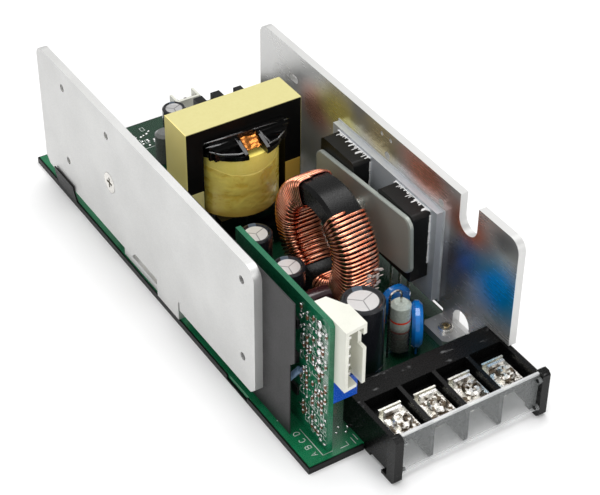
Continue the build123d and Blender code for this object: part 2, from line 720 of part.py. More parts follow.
def heat_spreader():
    y0, y1 = STACK_FRONT, STACK_FRONT + STACK_L
    z0, z1 = STACK_BOTTOM, STACK_BOTTOM + STACK_H
    plate = block(SPREADER_X, SPREADER_X + SPREADER_T, y0, y1, z0, z1)
    return plate - bar_x(CLAMP_X, RIGHT_OUT, CLAMP_Y, CLAMP_Z, CLAMP_SCREW_R + SCREW_GAP)


def capped_fronts():
    """Front ends, in y, of the two capped power devices."""
    return (STACK_FRONT + CAPPED_INSET, STACK_FRONT + STACK_L - CAPPED_INSET - CAPPED_L)


def device_caps():
    caps = []
    for y0 in capped_fronts():
        cap = block(CAPPED_X, SPREADER_X, y0, y0 + CAPPED_L, CAPPED_BOTTOM, CAPPED_TOP)
        ends = cap.edges().filter_by(Axis.X).sort_by(Axis.Z)[-2:]
        cap = fillet(ends, CAPPED_R)
        low = block(CAPPED_X + 1.2, SPREADER_X - 1.2, y0 + 1.2, y0 + CAPPED_L - 1.2, 0, CAPPED_BOTTOM + 3)
        caps.append(cap - low)
    return group(caps)


def device_leads():
    x = (CAPPED_X + SPREADER_X) / 2
    leads = []
    for y0 in capped_fronts():
        for step in (-1, 0, 1):
            y = y0 + CAPPED_L / 2 + step * LEAD_PITCH
            z1 = CAPPED_BOTTOM + 3
            leads.append(block(x - LEAD_T / 2, x + LEAD_T / 2, y - LEAD_W / 2, y + LEAD_W / 2, 0, z1))
    return group(leads)


def device_clamp():
    y0, y1 = capped_fronts()[0] - CLAMP_OVER, capped_fronts()[1] + CAPPED_L
    z1 = CAPPED_TOP - CLAMP_DROP
    clamp = block(CLAMP_X, CLAMP_X + CLAMP_T, y0, y1, z1 - CLAMP_H, z1)
    clamp = fillet(clamp.edges().filter_by(Axis.X), CLAMP_CORNER_R)
    return clamp - bar_x(CLAMP_X - 1, CAPPED_X + 1, CLAMP_Y, CLAMP_Z, CLAMP_SCREW_R + SCREW_GAP)


def clamp_screw():
    head = bar_x(CLAMP_X - CLAMP_HEAD_H, CLAMP_X, CLAMP_Y, CLAMP_Z, CLAMP_HEAD_R)
    half, wide = CROSS_L / 2, CROSS_W / 2
    x0, x1 = CLAMP_X - CLAMP_HEAD_H - 1, CLAMP_X - CLAMP_HEAD_H + CROSS_DEPTH
    head -= block(x0, x1, CLAMP_Y - half, CLAMP_Y + half, CLAMP_Z - wide, CLAMP_Z + wide)
    head -= block(x0, x1, CLAMP_Y - wide, CLAMP_Y + wide, CLAMP_Z - half, CLAMP_Z + half)
    return head + bar_x(CLAMP_X, RIGHT_OUT - 1, CLAMP_Y, CLAMP_Z, CLAMP_SCREW_R)


# Transformer
def core_half(bottom, flip):
    """One half of the core: yoke, two legs and half of the round post."""
    x0, x1 = CORE_X - CORE_W / 2, CORE_X + CORE_W / 2
    y0, y1 = CORE_FRONT, CORE_FRONT + CORE_D
    top = bottom + CORE_H / 2
    half = block(x0, x1, y0, y1, bottom, top)
    yoke_z = (bottom, top - CORE_LEG) if flip else (bottom + CORE_LEG, top)
    half -= block(x0 + CORE_LEG, x1 - CORE_LEG, y0 - 1, y1 + 1, *yoke_z)
    return half + post(CORE_X, CORE_Y, *yoke_z, CORE_POST_R)


def transformer_core_lower():
    return core_half(CORE_BOTTOM, False)


def transformer_core_upper():
    return core_half(CORE_BOTTOM + CORE_H / 2, True)


def flange_radius():
    return CORE_W / 2 - CORE_LEG - FLANGE_GAP


def window_z():
    """Lower and upper end of the bobbin's tube inside the core."""
    return CORE_BOTTOM + CORE_LEG + BOBBIN_GAP, CORE_TOP - CORE_LEG - BOBBIN_GAP


def winding_z():
    """Lower and upper end of the space between the flanges."""
    low, high = window_z()
    return low + LOWER_FLANGE_UP + BOBBIN_FLANGE_T, high - UPPER_FLANGE_DROP - BOBBIN_FLANGE_T


def rail_pin_rows():
    """Rows, in y, of the pins in the front and the back rail."""
    front = CORE_FRONT - RAIL_REACH + RAIL_RIB
    return front, 2 * CORE_Y - front


def upper_rail():
    """Half of the bobbin's top: steps down from the core, and a sloping wall beside the notch."""
    base = winding_z()[1]
    back = CORE_FRONT - BOBBIN_GAP
    rail = None
    for half, deep, tall in UPPER_STEPS:
        step = block(CORE_X - half, CORE_X + half, back - deep, back, base, base + tall)
        rail = step if rail is None else rail + step
        back -= deep
    front = CORE_FRONT - RAIL_REACH
    wall = [(back + RAIL_RIB, base), (back + RAIL_RIB, base + UPPER_WALL_BACK_H)]
    wall += [(front, base + UPPER_WALL_FRONT_H), (front, base)]
    for side in (-1, 1):
        inner = CORE_X + side * RAIL_NOTCH / 2
        outer = inner + side * RAIL_RIB
        rail += side_shape(wall, min(inner, outer), max(inner, outer))
    return rail


def transformer_bobbin():
    low, high = window_z()
    coil_low, coil_high = winding_z()
    radius = flange_radius()
    bobbin = post(CORE_X, CORE_Y, low, high, CORE_POST_R + BOBBIN_GAP + BOBBIN_WALL)
    bobbin += post(CORE_X, CORE_Y, low, coil_low, radius)
    flange = post(CORE_X, CORE_Y, coil_high, coil_high + BOBBIN_FLANGE_T, radius + FLANGE_OUT)
    deep = radius + FLANGE_OUT
    bobbin += flange & block(CORE_X - radius, CORE_X + radius, CORE_Y - deep, CORE_Y + deep, 0, high)
    wide0, wide1 = CORE_X - radius, CORE_X + radius
    front, near = CORE_FRONT - RAIL_REACH, CORE_FRONT - BOBBIN_GAP
    gap = RAIL_NOTCH / 2
    lower = block(wide0, wide1, front, near, RAIL_BOTTOM, RAIL_BOTTOM + RAIL_H)
    lower += block(wide0 + 3, wide1 - 3, front + 3, near, RAIL_BOTTOM + RAIL_H, coil_low)
    lower -= block(CORE_X - gap, CORE_X + gap, front - 1, near - RAIL_RIB, 0, coil_low - 1)
    rails = upper_rail() + lower
    bobbin += rails
    bobbin += Pos(0, 2 * CORE_Y, 0) * mirror(rails, Plane.XZ)
    bobbin -= block(wide0 - 20, wide1 + 20, CORE_FRONT - BOBBIN_GAP, 2 * CORE_Y - near, 0, low)
    notch = block(CORE_X - gap, CORE_X + gap, front - 9, near - UPPER_STEPS[0][1], coil_high - 1, high + 9)
    bobbin -= notch
    bobbin -= Pos(0, 2 * CORE_Y, 0) * mirror(notch, Plane.XZ)
    return bobbin - post(CORE_X, CORE_Y, 0, high + 9, CORE_POST_R + BOBBIN_GAP)


def transformer_winding():
    low, high = winding_z()
    coil = post(CORE_X, CORE_Y, low, high, flange_radius() - WINDING_INSET)
    inner = CORE_POST_R + BOBBIN_GAP + BOBBIN_WALL
    return coil - post(CORE_X, CORE_Y, low, high, inner)


def transformer_tape():
    """The tape loop round the core, and the tape on the front of both legs."""
    y0, y1 = CORE_FRONT + TAPE_INSET, CORE_FRONT + CORE_D - TAPE_INSET
    x0, x1 = CORE_X - CORE_W / 2, CORE_X + CORE_W / 2
    loop = block(x0 - TAPE_T, x1 + TAPE_T, y0, y1, CORE_BOTTOM - TAPE_T, CORE_TOP + TAPE_T)
    loop -= block(x0, x1, y0 - 1, y1 + 1, CORE_BOTTOM, CORE_TOP)
    tapes = [loop]
    for leg in (x0, x1 - CORE_LEG):
        top = CORE_BOTTOM + LEG_TAPE_H
        end = leg + CORE_LEG - FLANGE_GAP
        tapes.append(block(leg, end, CORE_FRONT - TAPE_T, CORE_FRONT, CORE_BOTTOM, top))
    return group(tapes)


def transformer_pins():
    pins = []
    for y in rail_pin_rows():
        for count in range(PINS_PER_RAIL):
            x = CORE_X + (count - (PINS_PER_RAIL - 1) / 2) * PIN_PITCH * 1.4
            half = PIN_W / 2
            if abs(x - CORE_X) > RAIL_NOTCH / 2 + half:
                pins.append(block(x - half, x + half, y - half, y + half, 0, RAIL_BOTTOM))
    return group(pins)


# Output choke
def frame_block(inner0, inner1, half, wall, length):
    """A rectangular loop on the ring's front side: radii inner0 to inner1, half wide."""
    outer = block(-half - wall, half + wall, -inner1 - wall, -inner0 + wall, -length / 2, length / 2)
    return outer - block(-half, half, -inner1, -inner0, -length, length)


def choke_core():
    half, flat = RING_W / 2, RING_W / 2 - RING_EDGE
    points = [(-half, RING_HOLE_R + RING_EDGE), (-flat, RING_HOLE_R), (flat, RING_HOLE_R)]
    points += [(half, RING_HOLE_R + RING_EDGE), (half, RING_R - RING_EDGE), (flat, RING_R)]
    points += [(-flat, RING_R), (-half, RING_R - RING_EDGE)]
    face = Plane.XY * Polygon(*points, align=None)
    return Pos(RING_X, RING_Y, RING_Z) * revolve(face, Axis.X, 360)


def sleeve(start, sweep):
    """The close-wound bed of a winding: a hollow section swept round part of the ring."""
    bed = WIRE_T * SLEEVE_SHARE
    middle = (RING_R + RING_HOLE_R) / 2
    deep = RING_R - RING_HOLE_R + 2 * WIRE_GAP
    wide = RING_W + 2 * WIRE_GAP
    face = Pos(0, -middle) * (Rectangle(wide + 2 * bed, deep + 2 * bed) - Rectangle(wide, deep))
    return Rot(start, 0, 0) * revolve(face, Axis.X, sweep)


def choke_winding(low):
    """One winding on the ring's front side, with a raised rib for each turn from angle low up."""
    sweep = (TURNS - 1) * TURN_STEP
    inner0, inner1 = RING_HOLE_R - WIRE_GAP, RING_R + WIRE_GAP
    half = RING_W / 2 + WIRE_GAP
    length = math.radians(TURN_STEP) * inner0 * TURN_FILL
    coil = sleeve(-low - sweep, sweep)
    for count in range(TURNS):
        turn = frame_block(inner0, inner1, half, WIRE_T, length)
        coil += Rot(-low - count * TURN_STEP, 0, 0) * turn
    return coil


def choke_winding_front():
    return Pos(RING_X, RING_Y, RING_Z) * choke_winding(FRONT_LOW)


def choke_winding_rear():
    return Pos(RING_X, RING_Y, RING_Z) * mirror(choke_winding(REAR_LOW), Plane.XZ)


def choke_base():
    half_w, half_l = CHOKE_BASE_W / 2, CHOKE_BASE_L / 2
    return block(RING_X - half_w, RING_X + half_w, RING_Y - half_l, RING_Y + half_l, 0, CHOKE_BASE_T)


# Capacitors and resistor
def capacitor(x, y, radius, height):
    """A can with a crimp groove near its foot and a lip round its sunk top."""
    groove = radius * 0.35
    points = [(0, 0), (radius, 0), (radius, groove), (radius - CAP_GROOVE, groove + CAP_GROOVE)]
    points += [(radius, groove + 2 * CAP_GROOVE), (radius, height - CAP_GROOVE)]
    points += [(radius - CAP_GROOVE, height), (radius - CAP_GROOVE - CAP_LIP, height)]
    points += [(radius - CAP_GROOVE - 2 * CAP_LIP, height - CAP_RECESS), (0, height - CAP_RECESS)]
    face = Plane.XZ * Polygon(*points, align=None)
    return Pos(x, y, 0) * revolve(face, Axis.Z, 360)


def output_capacitor():
    return capacitor(OUTPUT_CAP_X, OUTPUT_CAP_Y, OUTPUT_CAP_R, OUTPUT_CAP_H)


def filter_capacitors():
    back = FILTER_CAP_Y + FILTER_CAP_STEP
    one = capacitor(FILTER_CAP_X, FILTER_CAP_Y, FILTER_CAP_R, FILTER_CAP_H)
    return group([one, capacitor(FILTER_CAP_X, back, FILTER_CAP_R, FILTER_CAP_H)])


def auxiliary_capacitor():
    return capacitor(AUX_CAP_X, AUX_CAP_Y, AUX_CAP_R, AUX_CAP_H)


def damping_capacitor():
    can = post(DAMP_CAP_X, DAMP_CAP_Y, 0, DAMP_CAP_H, DAMP_CAP_R)
    return chamfer(can.edges().sort_by(Axis.Z)[-1], DAMP_CAP_R * 0.3)


def bulk_capacitor():
    return capacitor(BULK_CAP_X, BULK_CAP_Y, BULK_CAP_R, BULK_CAP_H)


def film_capacitor():
    x1, y1 = FILM_CAP_X + FILM_CAP_W, FILM_CAP_Y + FILM_CAP_D
    body = block(FILM_CAP_X, x1, FILM_CAP_Y, y1, 0, FILM_CAP_H)
    return fillet(body.edges().filter_by(Axis.X).sort_by(Axis.Z)[-2:], FILM_CAP_R)


def disc_capacitor(radius, up):
    """A dipped disc that stands on edge across y, with two leads down to the board."""
    disc = bar_y(0, -DISC_T / 2, DISC_T / 2, up, radius)
    disc = chamfer(disc.edges().filter_by(GeomType.CIRCLE), DISC_EDGE)
    for side in (-1, 1):
        disc += lead(side * DISC_LEAD_SPREAD * radius / 2, 0, up - radius / 2, DISC_LEAD_R)
    return disc


def disc_capacitors():
    small = Pos(SMALL_DISC_X, SMALL_DISC_Y, 0) * disc_capacitor(SMALL_DISC_R, SMALL_DISC_UP)
    large = Rot(0, 0, LARGE_DISC_TURN) * disc_capacitor(LARGE_DISC_R, LARGE_DISC_UP)
    return group([small, Pos(LARGE_DISC_X, LARGE_DISC_Y, 0) * large])


def power_resistor():
    top = RESISTOR_UP + RESISTOR_H
    body = post(RESISTOR_X, RESISTOR_Y, RESISTOR_UP, top, RESISTOR_R)
    body = chamfer(body.edges().filter_by(GeomType.CIRCLE), RESISTOR_DOME)
    body += lead(RESISTOR_X, RESISTOR_Y, RESISTOR_UP + 1, RESISTOR_LEAD_R)
    high = top + RESISTOR_LEAD_RISE
    bend = RESISTOR_LEAD_OUT / 2
    left = RESISTOR_X - RESISTOR_LEAD_OUT
    path = Line((RESISTOR_X, RESISTOR_Y, top - 1), (RESISTOR_X, RESISTOR_Y, high - bend))
    arc = ThreePointArc(
        (RESISTOR_X, RESISTOR_Y, high - bend),
        (RESISTOR_X - bend, RESISTOR_Y, high),
        (left, RESISTOR_Y, high - bend),
    )
    down = Line((left, RESISTOR_Y, high - bend), (left, RESISTOR_Y, 0))
    wire = path + arc + down
    start = Plane(origin=(RESISTOR_X, RESISTOR_Y, top - 1), z_dir=(0, 0, 1))
    return body + sweep(start * RegularPolygon(RESISTOR_LEAD_R, 6), path=wire)


# Control board
def pole_places():
    """Heights of the output connector's pins."""
    middle = (CONN_BOTTOM + CARD_H) / 2
    return [middle + (count - (POLES - 1) / 2) * POLE_PITCH for count in range(POLES)]


def control_board():
    y0, y1 = CARD_FRONT, CARD_FRONT + CARD_L
    card = block(CARD_X, CARD_RIGHT, y0, y1, 0, CARD_H)
    card = slant(card, Axis.X, y0, CARD_H, CARD_CHAMFER)
    half = POLE_PIN / 2 + POLE_GAP
    for z in pole_places():
        y = POLE_TAIL_BACK
        card -= block(CARD_X - 1, CARD_RIGHT + 1, y - half, y + half, z - half, z + half)
    return card


def control_chips():
    chips = []
    for column in range(CHIP_COLUMNS):
        for row in range(CHIP_ROWS):
            y = CARD_FRONT + CHIP_FRONT + column * CHIP_STEP_Y
            z = CHIP_LOW + row * CHIP_STEP_Z
            thick = CHIP_T if (column + row) % 2 else CHIP_T * 0.6
            wide = CHIP_W if row % 2 else CHIP_W * 0.7
            chips.append(block(CARD_X - thick, CARD_X, y, y + wide, z, z + CHIP_H))
    return group(chips)


def heat_probe():
    """A small sleeved sensor that leans out of the control board's left face."""
    y, z = CARD_FRONT + PROBE_BACK, PROBE_UP
    start = CARD_X - PROBE_R - PROBE_GAP
    lead = bar_x(start, CARD_X, y, z, PROBE_LEAD_R)
    low = (Align.CENTER, Align.CENTER, Align.MIN)
    body = Pos(start, y, z) * Rot(0, 0, -45) * Rot(0, 217, 0)
    return lead + body * Cylinder(PROBE_R, PROBE_L, align=low)


def output_connector():
    x0, x1 = CARD_RIGHT, CARD_RIGHT + CONN_W
    points = [(x0, CONN_BACK), (x0 + CONN_NARROW, CONN_BACK), (x1 - 0.8, 9.0), (x1, 8.5)]
    points += [(x1, CONN_NOSE), (x0, CONN_NOSE - CONN_NOSE_CUT)]
    house = plan_shape(points, CONN_BOTTOM, CARD_H)
    z0, z1 = CONN_BOTTOM + CONN_WALL, CARD_H - CONN_WALL
    house -= block(x0 + CONN_WALL, x1 - CONN_WALL, CONN_NOSE - 5, CONN_NOSE + CONN_DEPTH, z0, z1)
    key = x1 - CONN_WALL - CONN_KEY_W
    house -= block(key, x1 - CONN_WALL, CONN_NOSE - 5, CONN_NOSE + CONN_DEPTH - 1, CONN_BOTTOM - 1, z0 + 1)
    house -= block(x1 - CONN_WALL - 1, x1 + 1, CONN_NOSE - 1, CONN_NOSE + 3, z1 - 9, z1 - 3)
    half = POLE_PIN / 2 + POLE_GAP
    x, y = x0 + POLE_OFF, POLE_TAIL_BACK
    for z in pole_places():
        house -= block(x - half, x + half, 0, y + half, z - half, z + half)
        house -= block(x0 - 1, x + half, y - half, y + half, z - half, z + half)
    return house


def output_connector_pins():
    half = POLE_PIN / 2
    x, y = CARD_RIGHT + POLE_OFF, POLE_TAIL_BACK
    pins = []
    for z in pole_places():
        pin = block(x - half, x + half, POLE_FRONT, y + half, z - half, z + half)
        pin += block(CARD_X - POLE_TAIL, x + half, y - half, y + half, z - half, z + half)
        pins.append(pin)
    return group(pins)


def trimmer_body():
    z1 = CONN_BOTTOM - TRIMMER_GAP
    y1 = TRIMMER_FRONT + TRIMMER_D + 0.7
    return block(CARD_RIGHT, CARD_RIGHT + TRIMMER_W, y1 - TRIMMER_D, y1, z1 - TRIMMER_H, z1)


def trimmer_screw():
    x0 = CARD_RIGHT + TRIMMER_W
    y = TRIMMER_FRONT + 0.7 + TRIMMER_D / 2
    z = CONN_BOTTOM - TRIMMER_GAP - TRIMMER_H + 2 * TRIMMER_SCREW_R
    screw = bar_x(x0, x0 + TRIMMER_SCREW_H, y, z, TRIMMER_SCREW_R)
    slot0 = x0 + TRIMMER_SCREW_H / 2
    return screw - block(slot0, slot0 + 5, y - 5, y + 5, z - TRIMMER_SLOT_W / 2, z + TRIMMER_SLOT_W / 2)


# Terminal block
def terminal_places():
    """Positions, in x, of the terminal screws."""
    first = BLOCK_LEFT + END_WALL + TERMINAL_PITCH / 2
    return [first + count * TERMINAL_PITCH for count in range(TERMINALS)]


def peg_heights():
    return (COVER_LOW + PEG_INSET, COVER_UP - PEG_INSET)


def peg_y():
    return COVER_BACK - COVER_T - PEG_FORWARD


def end_wall(x0, x1, side):
    """A wall at one end of the block, with the thick head that stands out to one side."""
    head_back = HEAD_FRONT + HEAD_L
    points = [(LEDGE_BACK, 0), (LEDGE_BACK, LEDGE_UP), (head_back - 1, LEDGE_UP)]
    points += [(head_back - 1, WALL_UNDER), (-EDGE_GAP, WALL_UNDER), (-EDGE_GAP, 0)]
    wall = side_shape(points, x0, x1)
    wall -= block(x0 - 1, x1 + 1, head_back, head_back + SLIT_DEEP, SLIT_LOW, SLIT_LOW + SLIT_TALL)
    out0, out1 = (x0 - HEAD_OUT, x1) if side < 0 else (x0, x1 + HEAD_OUT)
    corners = [(HEAD_FRONT + HEAD_CHAMFER, REST_Z), (HEAD_FRONT, REST_Z + HEAD_CHAMFER)]
    corners += [(HEAD_FRONT, HEAD_UP - HEAD_CHAMFER), (HEAD_FRONT + HEAD_CHAMFER, HEAD_UP)]
    corners += [(head_back - HEAD_CHAMFER, HEAD_UP), (head_back, HEAD_UP - HEAD_CHAMFER)]
    corners += [(head_back, REST_Z + HEAD_FOOT_H), (head_back + HEAD_FOOT_L, REST_Z + HEAD_FOOT_H)]
    corners += [(head_back + HEAD_FOOT_L, REST_Z)]
    return wall + side_shape(corners, out0, out1)


def partition_wall(x):
    points = [(LEDGE_FRONT, 0), (LEDGE_FRONT, LEDGE_UP), (PARTITION_FRONT, LEDGE_UP - PARTITION_FALL)]
    points += [(PARTITION_FRONT, WALL_UNDER), (-EDGE_GAP, WALL_UNDER), (-EDGE_GAP, 0)]
    return side_shape(points, x - PARTITION / 2, x + PARTITION / 2)


def terminal_block():
    points = [(LEDGE_BACK, 0), (LEDGE_BACK, LEDGE_UP), (LEDGE_FRONT, LEDGE_UP)]
    points += [(LEDGE_FRONT, FLOOR_UP), (FLOOR_FRONT, FLOOR_UP), (FLOOR_FRONT, REST_Z)]
    points += [(-EDGE_GAP, REST_Z), (-EDGE_GAP, 0)]
    body = side_shape(points, BLOCK_LEFT, BLOCK_RIGHT)
    body += end_wall(BLOCK_LEFT, BLOCK_LEFT + END_WALL, -1)
    body += end_wall(BLOCK_RIGHT - END_WALL, BLOCK_RIGHT, 1)
    for count in range(1, TERMINALS):
        body += partition_wall(BLOCK_LEFT + END_WALL + count * TERMINAL_PITCH)
    for x in terminal_places():
        half = TONGUE_W / 2
        y0 = FLOOR_FRONT - TONGUE_L
        body += block(x - half, x + half, y0, FLOOR_FRONT, FLOOR_UP - TONGUE_T, FLOOR_UP)
        body -= post(x, TERMINAL_SCREW_Y, FLOOR_UP - TERMINAL_SHANK, FLOOR_UP + 1, TERMINAL_HOLE_R)
    for z in peg_heights():
        left, right = BLOCK_LEFT + END_WALL, BLOCK_RIGHT - END_WALL
        body += bar_x(left - 0.5, left + PEG_L, peg_y(), z, PEG_R)
        body += bar_x(right - PEG_L, right + 0.5, peg_y(), z, PEG_R)
    return body


def terminal_plates():
    plates = []
    for x in terminal_places():
        half = TERMINAL_W / 2
        back = TERMINAL_FRONT + TERMINAL_L
        z0, z1 = FLOOR_UP, FLOOR_UP + TERMINAL_T
        plate = block(x - half, x + half, TERMINAL_FRONT, back, z0, z1)
        lip_back = back + TERMINAL_LIP_T
        plate += block(x - half + 1, x + half - 1, back, lip_back, z0, z0 + TERMINAL_LIP_H)
        plates.append(plate - post(x, TERMINAL_SCREW_Y, z0 - 1, z1 + 1, TERMINAL_HOLE_R))
    return group(plates)


def clamp_washers():
    z0 = FLOOR_UP + TERMINAL_T
    z1 = z0 + CLAMP_WASHER_T
    washers = []
    for x in terminal_places():
        half, deep = CLAMP_WASHER_W / 2, CLAMP_WASHER_L / 2
        y = TERMINAL_SCREW_Y
        back = y + deep + CLAMP_FLANGE_OUT
        washer = block(x - half, x + half, y - deep, y + deep, z0, z1)
        half = CLAMP_FLANGE_W / 2
        washer += block(x - half, x + half, y, back, z0, z1)
        washer += block(x - half, x + half, back - CLAMP_FLANGE_T, back, z0, z1 + CLAMP_FLANGE_H)
        washers.append(washer - post(x, y, z0 - 1, z1 + 1, TERMINAL_HOLE_R))
    return group(washers)


def terminal_screws():
    seat = FLOOR_UP + TERMINAL_T + CLAMP_WASHER_T
    top = seat + TERMINAL_HEAD_H
    screws = []
    for x in terminal_places():
        y = TERMINAL_SCREW_Y
        head = post(x, y, seat, top, TERMINAL_HEAD_R)
        head = chamfer(head.edges().sort_by(Axis.Z)[-1], TERMINAL_HEAD_H / 3)
        head -= cross_cut(x, y, top, CROSS_W, CROSS_L, CROSS_DEPTH)
        screws.append(head + post(x, y, seat - TERMINAL_SHANK, seat, TERMINAL_SCREW_R))
    return group(screws)


def hook(x0, x1, z):
    """A C-shaped clip that grips a peg, open towards the board."""
    inner = PEG_R + PEG_GAP
    ring = bar_x(x0, x1, peg_y(), z, inner + HOOK_T) - bar_x(x0 - 1, x1 + 1, peg_y(), z, inner)
    return ring - block(x0 - 1, x1 + 1, peg_y() - inner / 2, peg_y() + inner / 2, z - 3, z)


def terminal_cover():
    x0, x1 = BLOCK_LEFT + END_WALL + COVER_GAP, BLOCK_RIGHT - END_WALL - COVER_GAP
    cover = block(x0, x1, COVER_BACK - COVER_T, COVER_BACK, COVER_LOW, COVER_UP)
    inner = PEG_R + PEG_GAP
    for z in peg_heights():
        for a, b in ((x0, x0 + HOOK_W), (x1 - HOOK_W, x1)):
            cover += hook(a, b, z)
            cover -= bar_x(a - 1 if a == x0 else a - 0.6, b + 0.6 if a == x0 else b + 1, peg_y(), z, inner)
    return cover


# Input parts
def line_choke_core():
    x0, x1 = LINE_CHOKE_X, LINE_CHOKE_X + LINE_CHOKE_W
    y = LINE_CHOKE_Y + LINE_CHOKE_D / 2
    limb = LINE_CHOKE_LIMB / 2
    z1 = LINE_CHOKE_H
    mid = 2 * LINE_FLANGE_T + LINE_CHOKE_LIMB / 2
    core = block(x0, x1, y - limb, y + limb, mid, mid + LINE_CHOKE_LIMB)
    post_z = (mid, z1 - LINE_FLANGE_T)
    core += block(x0, x0 + LINE_CHOKE_LIMB, y - limb, y + limb, *post_z)
    return core + block(x1 - LINE_CHOKE_LIMB, x1, y - limb, y + limb, *post_z)


def line_choke_coils():
    """The bobbin of the mains choke: three cheeks, two coils and the end cheeks' tall lugs."""
    x0, x1 = LINE_CHOKE_X + LINE_CHOKE_LIMB, LINE_CHOKE_X + LINE_CHOKE_W - LINE_CHOKE_LIMB
    x0, x1 = x0 + BOBBIN_GAP, x1 - BOBBIN_GAP
    y = LINE_CHOKE_Y + LINE_CHOKE_D / 2
    mid = 2 * LINE_FLANGE_T + LINE_CHOKE_LIMB
    coil = bar_x(x0, x1, y, mid, LINE_COIL_R - LINE_FLANGE_T / 2)
    for x in (x0, (x0 + x1 - LINE_FLANGE_T) / 2, x1 - LINE_FLANGE_T):
        half = LINE_COIL_R
        coil += block(x, x + LINE_FLANGE_T, y - half, y + half, 0, mid + half)
    for x in (x0, x1 - LINE_LUG_W):
        coil += block(x, x + LINE_LUG_W, y, y + LINE_LUG_L, mid + LINE_COIL_R / 2, LINE_LUG_UP)
    limb = LINE_CHOKE_LIMB / 2 + BOBBIN_GAP
    return coil - block(x0 - 1, x1 + 1, y - limb, y + limb, mid - limb, mid + limb)


def line_capacitor():
    x1, y1 = LINE_CAP_X + LINE_CAP_W, LINE_CAP_Y + LINE_CAP_D
    body = block(LINE_CAP_X, x1, LINE_CAP_Y, y1, 0, LINE_CAP_H)
    return fillet(body.edges().filter_by(Axis.Z), 1.0)


def bridge_rectifier():
    x1 = RIGHT_IN - BRIDGE_GAP
    x0 = x1 - BRIDGE_T
    y0, y1 = BRIDGE_BACK - BRIDGE_L, BRIDGE_BACK
    body = block(x0, x1, y0, y1, BRIDGE_UP, BRIDGE_UP + BRIDGE_H)
    body = slant(body, Axis.X, y0, BRIDGE_UP + BRIDGE_H, BRIDGE_CHAMFER)
    for count in range(4):
        y = (y0 + y1) / 2 + (count - 1.5) * BRIDGE_PITCH
        x = (x0 + x1) / 2
        body += block(x - LEAD_T / 2, x + LEAD_T / 2, y - LEAD_W / 2, y + LEAD_W / 2, 0, BRIDGE_UP)
    return body


def fuse_axis():
    """Height of the fuse over the board, held between its clips."""
    return FUSE_R + FUSE_CLIP_T + 0.1


def fuse():
    z, y = fuse_axis(), FUSE_Y
    x0, x1 = FUSE_X, FUSE_X + FUSE_L
    tube = bar_x(x0 + FUSE_CAP_L, x1 - FUSE_CAP_L, y, z, FUSE_GLASS_R)
    tube += bar_x(x0, x0 + FUSE_CAP_L, y, z, FUSE_R)
    return tube + bar_x(x1 - FUSE_CAP_L, x1, y, z, FUSE_R)


def fuse_clips():
    z = fuse_axis()
    clips = []
    for x in (FUSE_X + 0.5, FUSE_X + FUSE_L - 0.5 - FUSE_CLIP_W):
        wide = FUSE_R + FUSE_CLIP_T + 0.1
        clip = block(x, x + FUSE_CLIP_W, FUSE_Y - wide, FUSE_Y + wide, 0, z + FUSE_CLIP_WALL / 2)
        clip -= bar_x(x - 1, x + FUSE_CLIP_W + 1, FUSE_Y, z, FUSE_R + 0.1)
        clips.append(clip - block(x - 1, x + 9, FUSE_Y - FUSE_R, FUSE_Y + FUSE_R, z, z + 9))
    return group(clips)


def input_connector():
    x0, x1 = INPUT_X, INPUT_X + INPUT_W
    y0, y1 = INPUT_Y, INPUT_Y + INPUT_D
    wall = INPUT_WALL
    house = block(x0, x1, y0, y1, 0, INPUT_H)
    house -= block(x0 + wall, x1 - wall, y0 + wall, y1 - wall, INPUT_FLOOR, INPUT_H + 1)
    return house - block(x0 + wall, x1 - wall, y1 - wall - 1, y1 + 1, INPUT_H - INPUT_FALL, INPUT_H + 1)


def input_connector_pins():
    y = INPUT_Y + INPUT_D / 2
    half = INPUT_PIN_W / 2
    middle = INPUT_X + INPUT_W / 2
    pins = []
    for count in range(INPUT_PINS):
        x = middle + (count - (INPUT_PINS - 1) / 2) * POLE_PITCH
        pins.append(block(x - half, x + half, y - half, y + half, INPUT_FLOOR, INPUT_PIN_UP))
    return group(pins)


PIECES = [
    main_board,
    insulation_tray,
    solder_joints,
    left_side_plate,
    right_side_plate,
    foot_nuts,
    foot_screws,
    plate_screw,
    plate_nut,
    left_power_device,
    side_insulating_sheet,
    insulating_film,
    heat_spreader,
    device_caps,
    device_leads,
    device_clamp,
    clamp_screw,
    transformer_core_lower,
    transformer_core_upper,
    transformer_bobbin,
    transformer_winding,
    transformer_tape,
    transformer_pins,
    choke_core,
    choke_winding_front,
    choke_winding_rear,
    choke_base,
    output_capacitor,
    filter_capacitors,
    auxiliary_capacitor,
    damping_capacitor,
    bulk_capacitor,
    film_capacitor,
    disc_capacitors,
    power_resistor,
    control_board,
    control_chips,
    heat_probe,
    output_connector,
    output_connector_pins,
    trimmer_body,
    trimmer_screw,
    terminal_block,
    terminal_plates,
    clamp_washers,
    terminal_screws,
    terminal_cover,
    line_choke_core,
    line_choke_coils,
    line_capacitor,
    bridge_rectifier,
    fuse,
    fuse_clips,
    input_connector,
    input_connector_pins,
]

os.makedirs("parts", exist_ok=True)
SEAT = Location((-BOARD_W / 2, -BOARD_L / 2, -REST_Z))
for piece in PIECES:
    export_step(piece().moved(SEAT), "parts/" + piece.__name__ + ".step")
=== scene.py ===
import bpy
import json
import math
import numpy as np
from mathutils import Matrix


